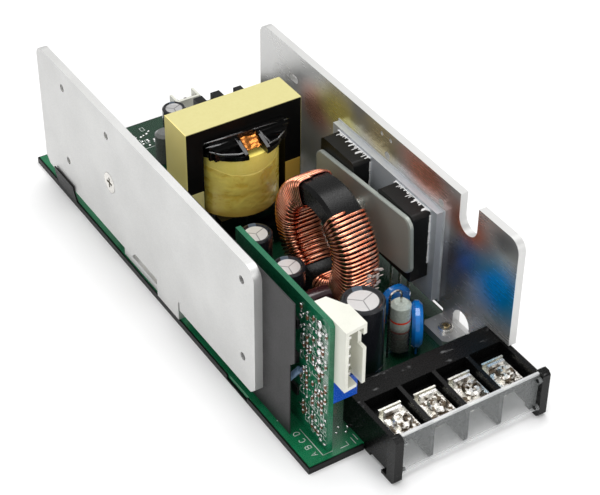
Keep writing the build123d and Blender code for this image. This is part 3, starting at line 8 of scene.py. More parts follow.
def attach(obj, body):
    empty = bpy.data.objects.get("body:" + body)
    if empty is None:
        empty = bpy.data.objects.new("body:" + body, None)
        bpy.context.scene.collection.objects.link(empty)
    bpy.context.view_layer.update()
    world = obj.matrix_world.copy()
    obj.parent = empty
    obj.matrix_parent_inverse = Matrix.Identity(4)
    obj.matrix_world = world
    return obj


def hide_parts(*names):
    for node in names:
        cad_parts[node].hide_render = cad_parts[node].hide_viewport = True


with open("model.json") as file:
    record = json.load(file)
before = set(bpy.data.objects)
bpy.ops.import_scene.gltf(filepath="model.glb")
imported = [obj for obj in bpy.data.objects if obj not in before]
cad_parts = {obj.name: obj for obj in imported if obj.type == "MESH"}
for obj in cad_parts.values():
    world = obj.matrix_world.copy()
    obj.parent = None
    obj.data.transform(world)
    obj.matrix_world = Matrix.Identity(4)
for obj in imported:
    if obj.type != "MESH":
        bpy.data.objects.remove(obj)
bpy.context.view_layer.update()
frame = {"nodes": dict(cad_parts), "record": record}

# Lengths are in mm and places are on the board: x from its left edge, y from its front edge
# and z from its top face. BOARD is where that corner lies in the shared frame.
BOARD = np.array([-42.5, -105.0, 2.8])
MM_PER_M = 1000.0

# Places and sizes of the solids that the finishes and the small things are set out from
CORE_MIDDLE = (45.7, 126.4)  # of the transformer's core, in plan
CORE_FRONT = CORE_MIDDLE[1] - 8.2
CORE_LEFT = CORE_MIDDLE[0] - 24.9
LAP_HEIGHT = 39.4  # where the smooth tape of its coil ends
RIGHT_PLATE_FACE = 82.6  # x of the plate's left face
RESISTOR_AXIS, RESISTOR_RADIUS, RESISTOR_TOP = (58.2, 31.5), 4.4, 24.1
LEDGE_TOP, COVER_TOP = 15.0, 16.8  # of the terminal block and of its cover
WASHER_FLANGE, ABOVE_SCREWS = 12.1, 20.0  # foot of the flanges, a height above the screws
RING = np.array([53.2, 72.8, 26.9])  # middle of the ring choke
CARD_FACE = 9.0  # x of the control card's left face
DEVICE_STARTS, DEVICE_LENGTH, DEVICE_TOP = (45.0, 83.2), 22.0, 46.85  # capped devices, along y


# Shader maths
class Value:
    """A socket that Python's operators work on. Each operator adds one Math node."""

    def __init__(self, finish, socket):
        self.finish = finish
        self.socket = socket

    def math(self, operation, *others):
        inputs = dict(enumerate((self, *others)))
        return self.finish.node("ShaderNodeMath", {"operation": operation}, inputs)

    def __add__(self, other):
        return self.math("ADD", other)

    def __sub__(self, other):
        return self.math("SUBTRACT", other)

    def __mul__(self, other):
        return self.math("MULTIPLY", other)

    def __truediv__(self, other):
        return self.math("DIVIDE", other)

    def __rsub__(self, other):
        return self.finish.node("ShaderNodeMath", {"operation": "SUBTRACT"}, {0: other, 1: self})

    def high(self, other):
        return self.math("MAXIMUM", other)

    def below(self, other):
        return self.math("LESS_THAN", other)

    def power(self, other):
        return self.math("POWER", other)

    def size(self):
        return self.math("ABSOLUTE")


class Finish:
    """The node tree of one material, with places on the board in mm."""

    def __init__(self, name):
        self.material = bpy.data.materials.new(name)
        self.material.use_nodes = True
        self.tree = self.material.node_tree
        self.shader = self.tree.nodes["Principled BSDF"]
        self.spot = None
        self.parts = None

    def put(self, socket, value):
        """A link, or a constant whose missing alpha is 1, on a socket."""
        if isinstance(value, Value):
            self.tree.links.new(value.socket, socket)
        elif hasattr(value, "__len__"):
            size = len(socket.default_value)
            socket.default_value = tuple(value) + (1.0,) * (size - len(value))
        else:
            socket.default_value = value

    def node(self, kind, settings=None, inputs=None, output=0):
        """Any node: its settings first, then the values or links of its sockets."""
        made = self.tree.nodes.new(kind)
        for key, value in (settings or {}).items():
            setattr(made, key, value)
        for key, value in (inputs or {}).items():
            self.put(made.inputs[key], value)
        return Value(self, made.outputs[output])

    def vector(self, operation, inputs):
        return self.node("ShaderNodeVectorMath", {"operation": operation}, inputs)

    def place(self):
        """Object coordinates turned into mm on the board."""
        if self.spot is None:
            raw = self.node("ShaderNodeTexCoord", output="Object")
            big = self.vector("SCALE", {0: raw, "Scale": MM_PER_M})
            self.spot = self.vector("SUBTRACT", {0: big, 1: tuple(BOARD)})
        return self.spot

    def xyz(self):
        """The three coordinates on the board as numbers."""
        if self.parts is None:
            inputs = {0: self.place()}
            self.parts = [
                self.node("ShaderNodeSeparateXYZ", inputs=inputs, output=i) for i in range(3)
            ]
        return self.parts

    def stretch(self, sizes):
        """The place on the board with each axis scaled, for streaks and brushed marks."""
        return self.vector("MULTIPLY", {0: self.place(), 1: sizes})

    def noise(self, scale, detail=2.0, rough=0.5, vector=None):
        """Cloudy noise, scale in cycles a millimetre."""
        inputs = {"Scale": scale, "Detail": detail, "Roughness": rough}
        return self.node("ShaderNodeTexNoise", None, {"Vector": vector or self.place(), **inputs})

    def cells(self, scale):
        """The distance to the nearest of scattered points, scale in cycles a millimetre."""
        inputs = {"Vector": self.place(), "Scale": scale}
        return self.node("ShaderNodeTexVoronoi", {"feature": "F1"}, inputs, "Distance")

    def mix(self, share, one, two):
        """The first colour, with a share of it replaced by the second."""
        return self.node("ShaderNodeMix", {"data_type": "RGBA"}, {0: share, 6: one, 7: two}, 2)

    def ramp(self, value, low, high, start=0.0, end=1.0):
        """A smooth change from start to end while value goes from low to high."""
        inputs = {0: value, 1: low, 2: high, 3: start, 4: end}
        return self.node("ShaderNodeMapRange", {"interpolation_type": "SMOOTHSTEP"}, inputs)

    def between(self, value, low, high, soft):
        """1 inside low to high and 0 outside, with soft edges."""
        return self.ramp(value, low - soft, low) * self.ramp(value, high, high + soft, 1.0, 0.0)

    def away(self, places):
        """Offsets in x and y, and the distance, from the nearest of some upright axes."""
        x, y, _ = self.xyz()
        nearest = None
        for cx, cy in places:
            dx, dy = x - cx, y - cy
            found = (dx, dy, (dx * dx + dy * dy).power(0.5))
            if nearest is None:
                nearest = found
            else:
                closer = found[2].below(nearest[2])
                nearest = [old + (new - old) * closer for old, new in zip(nearest, found)]
        return nearest

    def bump(self, height, strength, distance):
        """Relief on the surface, the distance in metres."""
        inputs = {"Height": height, "Strength": strength, "Distance": distance}
        self.put(self.shader.inputs["Normal"], self.node("ShaderNodeBump", None, inputs))

    def set(self, **values):
        """Values or links on the shader's own sockets, with _ for a space."""
        for key, value in values.items():
            self.put(self.shader.inputs[key.replace("_", " ")], value)


def grey(level):
    return (level, level, level)


def shade(colour, factor):
    """A colour made darker or lighter by a factor, no channel above 1."""
    return tuple(min(1.0, c * factor) for c in colour)


def moulded(name, colour, rough, metal=0.0, spread=0.15, grain=2.0, relief=0.12, coat=0.0,
            shine=0.5):
    """An even material with cloudy tone, uneven gloss and fine relief."""
    f = Finish(name)
    cloud = f.noise(0.12, 3.0)
    fine = f.noise(grain, 4.0, 0.6)
    tone = f.ramp(cloud * 0.7 + fine * 0.3, 0.3, 0.7)
    smooth, dull = max(0.02, rough - 0.07), min(1.0, rough + 0.09)
    f.set(Base_Color=f.mix(tone, shade(colour, 1 - spread), shade(colour, 1 + spread)))
    f.set(Roughness=f.ramp(fine, 0.25, 0.75, smooth, dull))
    f.set(Metallic=metal, Coat_Weight=coat, Specular_IOR_Level=shine)
    f.bump(fine, relief, 0.0001)
    return f


def brushed(name, colour, rough, metal, direction=(0.35, 0.03, 0.35), spread=0.05, relief=0.08):
    """Sheet metal with fine marks along one direction and a few darker specks."""
    f = Finish(name)
    streak = f.noise(6.0, 4.0, 0.65, f.stretch(direction))
    cloud = f.noise(0.05, 3.0)
    speck = f.ramp(f.noise(1.6, 3.0, 0.7), 0.62, 0.75)
    tone = f.ramp(streak * 0.6 + cloud * 0.4, 0.3, 0.7)
    light = f.mix(tone, shade(colour, 1 - spread), shade(colour, 1 + spread))
    f.set(Base_Color=f.mix(speck * 0.25, light, shade(colour, 0.7)), Metallic=metal)
    f.set(Roughness=f.ramp(streak, 0.2, 0.8, max(0.03, rough - 0.06), rough + 0.1))
    f.bump(streak, relief, 0.00008)
    return f


# Painted reflections on the right plate: soft ellipses in the colours of the parts that stand
# before it, each as middle and half size along y and z, the share of the colour, and the colour.
PAINTED_PLATE_REFLECTIONS = (
    (48.0, 20.0, 26.0, 24.0, 0.8, (0.06, 0.06, 0.07)),
    (126.0, 44.0, 16.0, 14.0, 0.75, (0.74, 0.30, 0.20)),
    (110.0, 50.0, 22.0, 13.0, 0.85, (0.72, 0.64, 0.16)),
    (82.0, 54.0, 18.0, 10.0, 0.7, (0.66, 0.52, 0.18)),
    (54.0, 56.0, 22.0, 10.0, 0.85, (0.70, 0.22, 0.11)),
    (28.0, 50.0, 18.0, 12.0, 0.85, (0.60, 0.17, 0.08)),
    (6.0, 56.0, 12.0, 7.0, 0.6, (0.16, 0.16, 0.17)),
    (33.0, 30.0, 12.0, 16.0, 0.7, (0.08, 0.07, 0.12)),
    (26.0, 37.0, 12.0, 12.0, 0.7, (0.0, 0.12, 0.44)),
    (8.0, 35.0, 22.0, 19.0, 1.0, (0.0, 0.38, 0.74)),
)


def polished_plate_with_painted_reflections():
    """Rolled sheet that mirrors softly, with painted reflections of the parts before it and pale
    cut edges.
    """
    f = Finish("plate_polished")
    x, y, z = f.xyz()
    cloud = f.noise(0.04, 3.0)
    fine = f.noise(1.2, 3.0, 0.6, f.stretch((1.0, 0.15, 1.0)))
    colour = f.mix(cloud, grey(0.52), (0.66, 0.66, 0.65))
    # Painted reflections: each ellipse mixes in the colour of a part that the plate mirrors
    for y0, z0, wide, tall, share, tint in PAINTED_PLATE_REFLECTIONS:
        across, rise = (y - y0) / wide, (z - z0) / tall
        near = f.ramp((across * across + rise * rise).power(0.5) + fine * 0.2, 1.1, 0.3)
        colour = f.mix(near * share, colour, tint)
    edge = f.ramp(x, RIGHT_PLATE_FACE + 0.04, RIGHT_PLATE_FACE + 0.1)
    f.set(Base_Color=f.mix(edge, colour, (0.64, 0.64, 0.63)), Metallic=edge * -0.2 + 0.7)
    f.set(Roughness=f.ramp(cloud * 0.6 + fine * 0.4, 0.3, 0.7, 0.16, 0.3) + edge * 0.25)
    f.bump(fine, 0.03, 0.00005)
    return f


def sleeved_can(name, places, radius, height):
    """A glossy sleeve with a paler stripe, and a bare aluminium top that is scored by three
    lines from its middle, as a bursting vent."""
    f = Finish(name)
    z = f.xyz()[2]
    dx, dy, far = f.away(places)
    fine = f.noise(2.5, 4.0, 0.6)
    bare_r = radius * 0.7
    bare = f.ramp(far, bare_r - 0.1, bare_r + 0.1, 1.0, 0.0)
    bare = bare * f.ramp(z, height - 1.4, height - 1.1)
    lines = []
    for turn in (20, 140, 260):
        c, s = math.cos(math.radians(turn)), math.sin(math.radians(turn))
        along, across = dx * c + dy * s, (dy * c - dx * s).size()
        lines.append(f.ramp(across, 0.12, 0.3, 1.0, 0.0) * f.ramp(along, 0.0, 0.2))
    scored = lines[0].high(lines[1]).high(lines[2])
    across = (dx * 0.97 - dy * 0.24).size()
    stripe = f.ramp(across, radius * 0.22, radius * 0.25, 1.0, 0.0) * f.ramp(dy, 0.0, 0.5)
    sleeve = f.mix(stripe * 0.8, (0.010, 0.011, 0.014), (0.09, 0.12, 0.16))
    metal = f.mix(fine, (0.56, 0.55, 0.55), (0.70, 0.69, 0.68))
    metal = f.mix(scored * 0.75, metal, grey(0.16))
    f.set(Base_Color=f.mix(bare, sleeve, metal), Metallic=bare * 0.85)
    f.set(Roughness=f.ramp(fine, 0.2, 0.8, 0.14, 0.26) + bare * 0.2, Coat_Weight=0.3)
    f.bump(fine - scored * 0.6, 0.15, 0.0001)
    return f


def winding_tape():
    """Yellow tape wound on a coil: smooth above a lap line, creased and browner below it, with
    painted shade in the valleys of its creases.
    """
    f = Finish("winding_tape")
    x, _, z = f.xyz()
    lap = z + f.noise(0.05, 1.0) * 5.0 - (x - CORE_MIDDLE[0]).size() * 0.12
    below = f.ramp(lap, LAP_HEIGHT + 0.2, LAP_HEIGHT - 0.2)
    crease = f.noise(0.16, 3.0, 0.55, f.stretch((1.0, 1.0, 1.5)))
    fine = f.noise(1.4, 3.0)
    # Painted shade: the creased tape is darker where the relief of its creases is low
    tone = f.ramp(crease, 0.28, 0.62)
    smooth = f.mix(fine, (1.0, 0.80, 0.16), (1.0, 0.87, 0.22))
    creased = f.mix(tone, (0.82, 0.56, 0.07), (1.0, 0.82, 0.17))
    low = f.mix(f.ramp(z, 24.0, 17.5) * 0.6, creased, (0.50, 0.24, 0.03))
    f.set(Base_Color=f.mix(below, smooth, low), Coat_Weight=0.35)
    f.set(Roughness=f.ramp(crease, 0.3, 0.7, 0.22, 0.4))
    f.bump(crease * below * 3.0 + fine * 0.12 + below * 1.6, 0.45, 0.0006)
    return f


def core_tape():
    """Pale yellow tape round the core, with painted light on its left side, which is given a
    richer, brighter yellow, and browner on the front of its right leg."""
    f = Finish("core_tape")
    x, y, _ = f.xyz()
    fine = f.noise(0.9, 3.0)
    front = f.ramp(y, CORE_FRONT + 0.1, CORE_FRONT - 0.05)
    leg = front * f.ramp(x, CORE_MIDDLE[0], CORE_MIDDLE[0] + 2.0)
    # Painted light: the left side of the same tape is coloured a richer, brighter yellow
    side = f.ramp(x, CORE_LEFT + 0.2, CORE_LEFT)
    pale = f.mix(fine, (0.60, 0.545, 0.225), (0.66, 0.605, 0.27))
    pale_and_painted_side = f.mix(side * 0.8, pale, (1.0, 0.86, 0.30))
    f.set(Base_Color=f.mix(leg, pale_and_painted_side, (0.66, 0.42, 0.07)))
    f.set(Roughness=f.ramp(fine, 0.3, 0.7, 0.3, 0.42), Coat_Weight=0.15)
    f.bump(fine, 0.08, 0.0002)
    return f


def copper_wire(name, wound=False):
    """Enamelled copper: orange-red metal under a clear glossy coat. A wound wire has painted
    shade on its flanks, darker towards its neighbours, by the mesh's attribute for that shade,
    which is 1 on its outer line."""
    f = Finish(name)
    cloud = f.noise(0.3, 3.0)
    fine = f.noise(2.0, 3.0)
    colour = f.mix(f.ramp(cloud, 0.3, 0.7), (0.76, 0.20, 0.09), (1.0, 0.45, 0.28))
    if wound:
        # Painted shade: the flanks of each wound wire, towards its neighbours, are darkened
        crown = f.node("ShaderNodeAttribute", {"attribute_name": "crown"}, output="Fac")
        colour = f.mix(f.ramp(crown, 0.9, 0.55), colour, (0.16, 0.018, 0.006))
    f.set(Base_Color=colour, Metallic=1.0)
    f.set(Roughness=f.ramp(fine, 0.3, 0.7, 0.12, 0.24), Coat_Weight=1.0)
    return f


# Bands round the resistor: lower edge, colour and the share of the colour
RESISTOR_BANDS = (
    (16.3, (0.75, 0.05, 0.02), 1.0),
    (11.7, (0.42, 0.05, 0.04), 0.9),
    (9.2, (0.40, 0.2, 0.16), 0.5),
)


def banded_resistor(axis, body_r, top):
    """Grey-green enamel with three colour bands and a painted shadow that darkens its lower body;
    the wire that bends over is bare where it leaves the top and wears a black sleeve on its way
    down."""
    f = Finish("resistor_grey")
    z = f.xyz()[2]
    far = f.away([axis])[2]
    fine = f.noise(1.2, 3.0)
    colour = f.mix(fine, (0.33, 0.37, 0.33), (0.46, 0.50, 0.45))
    for low, tint, share in RESISTOR_BANDS:
        colour = f.mix(f.between(z, low, low + 0.7, 0.15) * share, colour, tint)
    # Painted shadow: the body darkens from z 15.5 down to 11
    colour = f.mix(f.ramp(z, 15.5, 11.0) * 0.85, colour, (0.03, 0.028, 0.025))
    outside = f.ramp(far, body_r + 0.15, body_r + 0.25)
    wire = outside.high(f.ramp(z, top, top + 0.2))
    sleeve = outside * f.ramp(z, top + 2.5, top + 1.5)
    colour = f.mix(sleeve, f.mix(wire, colour, (0.70, 0.68, 0.64)), grey(0.012))
    f.set(Base_Color=colour, Roughness=f.ramp(fine, 0.3, 0.7, 0.18, 0.32), Coat_Weight=0.4)
    f.set(Metallic=wire * (1.0 - sleeve))
    f.bump(fine, 0.12, 0.0002)
    return f


def metal_with_painted_reflections(name, bright_from):
    """Nickel-plated steel with painted reflections in sharp dark and pale patches below a height,
    and bright above it.
    """
    f = Finish(name)
    z = f.xyz()[2]
    # Painted reflections: sharp dark and pale patches stand for surroundings mirrored in the metal
    patch = f.ramp(f.noise(0.45, 2.0, 0.5), 0.44, 0.54)
    fine = f.noise(2.0, 3.0)
    painted_reflection = f.mix(patch, (0.13, 0.10, 0.07), (0.95, 0.92, 0.86))
    bright = f.ramp(z, bright_from, bright_from + 0.2)
    f.set(Base_Color=f.mix(bright, painted_reflection, (0.95, 0.94, 0.92)), Metallic=0.9)
    f.set(Roughness=f.ramp(fine, 0.3, 0.7, 0.22, 0.34))
    f.bump(fine, 0.2, 0.00005)
    return f


def terminal_plastic():
    """Black moulded plastic whose ledge is rubbed pale in a few smears."""
    f = Finish("terminal_black")
    z = f.xyz()[2]
    fine = f.noise(2.0, 4.0, 0.6)
    rubbed = f.ramp(f.noise(0.35, 3.0, 0.6, f.stretch((0.4, 1.0, 1.0))), 0.62, 0.78)
    smear = rubbed * f.ramp(z, LEDGE_TOP - 0.1, LEDGE_TOP)
    f.set(Base_Color=f.mix(smear * 0.5, grey(0.003), grey(0.30)))
    f.set(Roughness=f.ramp(fine, 0.25, 0.75, 0.22, 0.34), Specular_IOR_Level=0.16)
    f.bump(fine, 0.2, 0.0001)
    return f


def clear_cover():
    """Clear moulded plastic: a faint grey sheet with a painted highlight along its top edge, and
    paler below the level of the board's top face."""
    f = Finish("cover_clear")
    z = f.xyz()[2]
    fine = f.noise(0.4, 2.0)
    # Painted highlight: the top edge is paler and less clear
    top = f.ramp(z, COVER_TOP - 0.6, COVER_TOP)
    edge = top.high(f.ramp(z, 0.2, -0.3))
    f.set(Base_Color=f.mix(edge, (0.50, 0.52, 0.52), (0.80, 0.81, 0.82)))
    f.set(Alpha=edge * 0.4 + f.ramp(fine, 0.3, 0.7, 0.15, 0.18))
    f.set(Roughness=f.ramp(fine, 0.3, 0.7, 0.06, 0.1))
    return f


def circuit_green(name, dark, light, shaded=0.0):
    """Solder resist over copper: patches of a lighter green where copper lies under it, and
    painted shade among the parts, which darkens it by the shaded share."""
    f = Finish(name)
    x, y, _ = f.xyz()
    # Painted shade: the board away from its free front and left strips is darkened
    inner = f.ramp(x, 8.0, 12.0) * f.ramp(y, 2.0, 14.0) * shaded
    patch = f.ramp(f.cells(0.16), 0.55, 0.6)
    cloud = f.noise(0.15, 3.0)
    fine = f.noise(3.0, 3.0)
    bright = f.mix(patch * 0.2 + cloud * 0.6, dark, light)
    f.set(Base_Color=f.mix(inner, bright, shade(dark, 0.12)))
    f.set(Roughness=f.ramp(fine, 0.3, 0.7, 0.22, 0.36), Coat_Weight=0.25)
    f.bump(fine + patch * 0.6, 0.12, 0.0001)
    return f


FINISHES = {
    "board_green": circuit_green("board_green", (0.002, 0.11, 0.04), (0.006, 0.21, 0.085), 0.85),
    "tray_black": moulded("tray_black", grey(0.004), 0.4, shine=0.2),
    "solder": moulded("solder", (0.75, 0.75, 0.74), 0.25, 1.0),
    "plate_satin": brushed(
        "plate_satin", (0.65, 0.65, 0.64), 0.5, 0.7, direction=(0.5, 0.2, 0.5), spread=0.09
    ),
    "plate_polished": polished_plate_with_painted_reflections(),
    "screw_steel": moulded("screw_steel", (0.72, 0.70, 0.66), 0.25, 1.0),
    "screw_yellow": moulded("screw_yellow", (0.62, 0.48, 0.26), 0.25, 1.0),
    "sheet_grey": moulded("sheet_grey", (0.022, 0.021, 0.022), 0.45, spread=0.3, shine=0.3),
    "film_grey": moulded("film_grey", (0.46, 0.48, 0.50), 0.4),
    "spreader_metal": brushed("spreader_metal", (0.60, 0.63, 0.67), 0.45, 0.5),
    "silicone_black": moulded("silicone_black", grey(0.004), 0.4, relief=0.5, shine=0.25),
    "epoxy_black": moulded("epoxy_black", grey(0.006), 0.45, shine=0.3),
    "lead_tin": moulded("lead_tin", (0.74, 0.73, 0.70), 0.25, 1.0),
    "clamp_metal": brushed(
        "clamp_metal", (0.36, 0.39, 0.36), 0.45, 0.45, direction=grey(0.2), relief=0.04
    ),
    "ferrite": moulded("ferrite", grey(0.003), 0.35, shine=0.15),
    "bobbin_black": moulded("bobbin_black", grey(0.003), 0.12, coat=0.3, shine=0.3),
    "winding_tape": winding_tape(),
    "core_tape": core_tape(),
    "ring_black": moulded("ring_black", grey(0.003), 0.25, shine=0.25),
    "copper_wire": copper_wire("copper_wire"),
    "base_black": moulded("base_black", grey(0.006), 0.45, shine=0.3),
    "can_sleeve": moulded("can_sleeve", (0.010, 0.011, 0.014), 0.22, coat=0.3),
    "film_brown": moulded("film_brown", (0.030, 0.008, 0.010), 0.2, coat=0.5),
    "disc_blue": moulded("disc_blue", (0.006, 0.16, 0.52), 0.12, coat=0.8),
    "resistor_grey": banded_resistor(RESISTOR_AXIS, RESISTOR_RADIUS, RESISTOR_TOP),
    "card_green": circuit_green("card_green", (0.003, 0.10, 0.045), (0.010, 0.20, 0.09)),
    "chip_black": moulded("chip_black", grey(0.008), 0.4, shine=0.4),
    "probe_sleeve": moulded("probe_sleeve", (0.14, 0.22, 0.34), 0.3),
    "connector_white": moulded("connector_white", (0.72, 0.72, 0.64), 0.35, spread=0.05),
    "trimmer_blue": moulded("trimmer_blue", (0.006, 0.07, 0.42), 0.25),
    "terminal_black": terminal_plastic(),
    "terminal_metal": moulded("terminal_metal", (0.92, 0.89, 0.80), 0.3, 1.0, relief=0.3),
    "cover_clear": clear_cover(),
    "coil_black": moulded("coil_black", grey(0.006), 0.35, shine=0.3),
    "capacitor_yellow": moulded("capacitor_yellow", (0.42, 0.42, 0.40), 0.4),
    "fuse_glass": moulded("fuse_glass", (0.75, 0.74, 0.7), 0.2),
}

# Finishes of the small things that only this scene holds
WOUND_COPPER_PAINTED_SHADE = copper_wire("wound_copper_painted_shade", True)
SILK = moulded("silk_white", (0.56, 0.60, 0.57), 0.5)
PASTE = moulded("thermal_paste", grey(0.80), 0.6, grain=1.0, relief=0.5)
FOIL = moulded("copper_foil", (0.62, 0.22, 0.05), 0.25, 1.0, spread=0.4, grain=0.7, relief=0.8)
FOLD = moulded("fold_black", grey(0.008), 0.12, coat=1.0, shine=1.0)
GLUE = moulded("clear_glue", (0.62, 0.52, 0.48), 0.25, spread=0.2, coat=0.4)
BROWN_PART = moulded("brown_part", (0.16, 0.07, 0.03), 0.35)

# Each can has its own score lines round its own axis: places in plan, radius and height
CANS = {
    "output_capacitor": ([(42.0, 31.9)], 8.0, 32.0),
    "filter_capacitors": ([(32.9, 66.5), (32.9, 89.2)], 6.25, 27.0),
    "auxiliary_capacitor": ([(53.9, 190.6)], 5.0, 17.0),
    "bulk_capacitor": ([(58.0, 158.0)], 12.5, 29.0),
}

# Nodes that share a slot with others but look unlike them
OWN = {
    "damping_capacitor": moulded("damping_grey", (0.15, 0.155, 0.15), 0.3, coat=0.3),
    "clamp_washers": metal_with_painted_reflections("washer_painted_reflections", WASHER_FLANGE),
    "terminal_screws": metal_with_painted_reflections("screw_painted_reflections", ABOVE_SCREWS),
}

for sub in frame["record"]["subparts"]:
    name = sub["node"]
    finish = OWN.get(name) or FINISHES[sub["material_slot"]]
    if name in CANS:
        finish = sleeved_can(name, *CANS[name])
    frame["nodes"][name].data.materials.clear()
    frame["nodes"][name].data.materials.append(finish.material)


# Meshes
def join_faces(rows, columns, wrap_rows, wrap_columns, first=0):
    """Quads between the points of a grid, whose rows or columns may close on themselves."""
    r = np.arange(rows if wrap_rows else rows - 1)
    c = np.arange(columns if wrap_columns else columns - 1)
    r, c = (g.ravel() for g in np.meshgrid(r, c, indexing="ij"))
    down, over = (r + 1) % rows, (c + 1) % columns
    quads = [r * columns + c, r * columns + over, down * columns + over, down * columns + c]
    return np.stack(quads, 1) + first


def add_mesh(name, points, faces, finish, smooth=True):
    """A piece of the object from points on the board, riding on the one body."""
    mesh = bpy.data.meshes.new(name)
    places = ((points + BOARD) / MM_PER_M).tolist()
    mesh.from_pydata(places, [], [list(map(int, f)) for f in faces])
    mesh.update()
    mesh.polygons.foreach_set("use_smooth", [smooth] * len(mesh.polygons))
    mesh.materials.append(finish.material)
    piece = bpy.data.objects.new(name, mesh)
    bpy.context.scene.collection.objects.link(piece)
    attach(piece, "root")
    return piece


def tube_grid(path, radius, outward, sides, flat=1.0):
    """Circles round each point of a path: centre + r (flat cos t outward + sin t side)."""
    along = np.gradient(path, axis=0)
    along /= np.linalg.norm(along, axis=1, keepdims=True)
    out = outward - along * np.sum(outward * along, 1, keepdims=True)
    out /= np.linalg.norm(out, axis=1, keepdims=True)
    side = np.cross(along, out)
    t = np.linspace(0, 2 * math.pi, sides, endpoint=False)
    wide = np.broadcast_to(np.asarray(radius, float), (len(path),))[:, None, None]
    forth = flat * np.cos(t)[None, :, None] * out[:, None]
    return path[:, None] + wide * (forth + np.sin(t)[None, :, None] * side[:, None])


def add_tubes(name, grids, finish):
    """Several tubes in one piece, each closed at both ends."""
    points, faces, first = [], [], 0
    for grid in grids:
        rows, columns = grid.shape[:2]
        points.append(grid.reshape(-1, 3))
        faces += join_faces(rows, columns, False, True, first).tolist()
        faces.append(list(range(first + columns - 1, first - 1, -1)))
        last = first + (rows - 1) * columns
        faces.append(list(range(last, last + columns)))
        first += rows * columns
    return add_mesh(name, np.concatenate(points), faces, finish)


def soft(a, power):
    """a with its size raised to a power up to 1 and its sign kept, which turns the cosine and
    sine of a circle into those of a rounded square."""
    return np.sign(a) * np.abs(a) ** power


def lumps(centres, halves, power, rows, columns=8):
    """Rounded blocks: every point is centre + half * (cos^p u cos^p v, cos^p u sin^p v, sin^p u),
    with p the power, u from pole to pole and v round them."""
    u = np.linspace(-math.pi / 2, math.pi / 2, rows)
    v = np.linspace(0, 2 * math.pi, columns, endpoint=False) + math.pi / columns
    reach = soft(np.cos(u), power)[:, None]
    shape = [
        reach * soft(np.cos(v), power),
        reach * soft(np.sin(v), power),
        soft(np.sin(u), power)[:, None] * np.ones(columns),
    ]
    return centres[:, None, None] + halves[:, None, None] * np.stack(shape, -1)[None]


def dabs(places, halves, seed, spread=0.3):
    """Rounded blocks at places, each half size changed by up to spread of itself."""
    centres = np.array(places, float)
    change = np.random.default_rng(seed).uniform(1 - spread, 1 + spread, (len(centres), 3))
    return lumps(centres, np.array(halves, float) * change, 0.8, 7)


def add_lumps(name, grids, finish):
    """Several rounded blocks in one piece."""
    count, rows, columns = grids.shape[:3]
    faces = []
    for number in range(count):
        faces += join_faces(rows, columns, False, True, number * rows * columns).tolist()
    return add_mesh(name, grids.reshape(-1, 3), faces, finish)


def add_print(name, lines, up, width):
    """Printed strokes: flat ribbons of a width along lines on a face whose normal is up."""
    grids = []
    for line in lines:
        path = np.array(line, float)
        normal = np.broadcast_to(np.array(up, float), path.shape)
        grids.append(tube_grid(path, width / 2, normal, 6, 0.15))
    return add_tubes(name, grids, SILK)


# Ring choke: every turn of its two coils is a rounded rectangle round the ring's section.
TURNS, TURN_STEP, TURN_POINTS = 35, 4.0, 44
WIRE_RADIUS, WIRE_SIDES = 0.62, 10
COIL_MIDDLE_RADIUS = 19.7
COIL_HALF_RADIAL, COIL_HALF_WIDTH, COIL_POWER = 5.2, 7.4, 0.42


def even_phases():
    """Phases of one turn that cut the rounded rectangle into steps of equal length."""
    phase = np.linspace(0, 2 * math.pi, 4001)
    radial = np.diff(COIL_HALF_RADIAL * soft(np.cos(phase), COIL_POWER))
    across = np.diff(COIL_HALF_WIDTH * soft(np.sin(phase), COIL_POWER))
    length = np.concatenate([[0.0], np.cumsum(np.hypot(radial, across))])
    return np.interp(np.arange(TURN_POINTS) / TURN_POINTS * length[-1], length, phase)


def winding_path(side, start):
    """One wire wound on the ring: a rounded rectangle in radius and width, whose angle
    about the ring grows by one step a turn, every second turn lying further out in the
    hole; side is -1 for the front coil, 1 for the rear."""
    s = np.arange(TURNS * TURN_POINTS) / TURN_POINTS
    phase = (2 * math.pi * np.arange(TURNS)[:, None] + even_phases()).ravel()
    radial, across = soft(np.cos(phase), COIL_POWER), soft(np.sin(phase), COIL_POWER)
    random = np.random.default_rng(7 + side)
    loose = np.interp(s, np.arange(TURNS + 1), random.uniform(-0.12, 0.12, TURNS + 1))
    inside = (1 - np.cos(phase)) / 2
    radius = COIL_MIDDLE_RADIUS + (COIL_HALF_RADIAL + loose) * radial
    radius = radius + inside * 0.45 * np.sin(math.pi * s)
    angle = np.radians(-start + TURN_STEP * (s - 0.5) + 1.2 * loose)
    y, z = side * radius * np.cos(angle), radius * np.sin(angle)
    path = RING + np.stack([COIL_HALF_WIDTH * across, y, z], 1)
    return path, np.stack([across, side * radial * np.cos(angle), radial * np.sin(angle)], 1)


def add_winding(name, side, start, node):
    """The coil of round wire that stands for the ribbed solid of the frame."""
    path, outward = winding_path(side, start)
    grid = tube_grid(path, WIRE_RADIUS, outward, WIRE_SIDES)
    coil = add_tubes(name, [grid], WOUND_COPPER_PAINTED_SHADE)
    # Painted shade on the wire's flanks: 1 on its outer line, falling towards its neighbours
    crown = (1 + np.cos(np.linspace(0, 2 * math.pi, WIRE_SIDES, endpoint=False))) / 2
    layer = coil.data.attributes.new("crown", "FLOAT", "POINT")
    layer.data.foreach_set("value", np.tile(crown, len(path)))
    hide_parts(node)


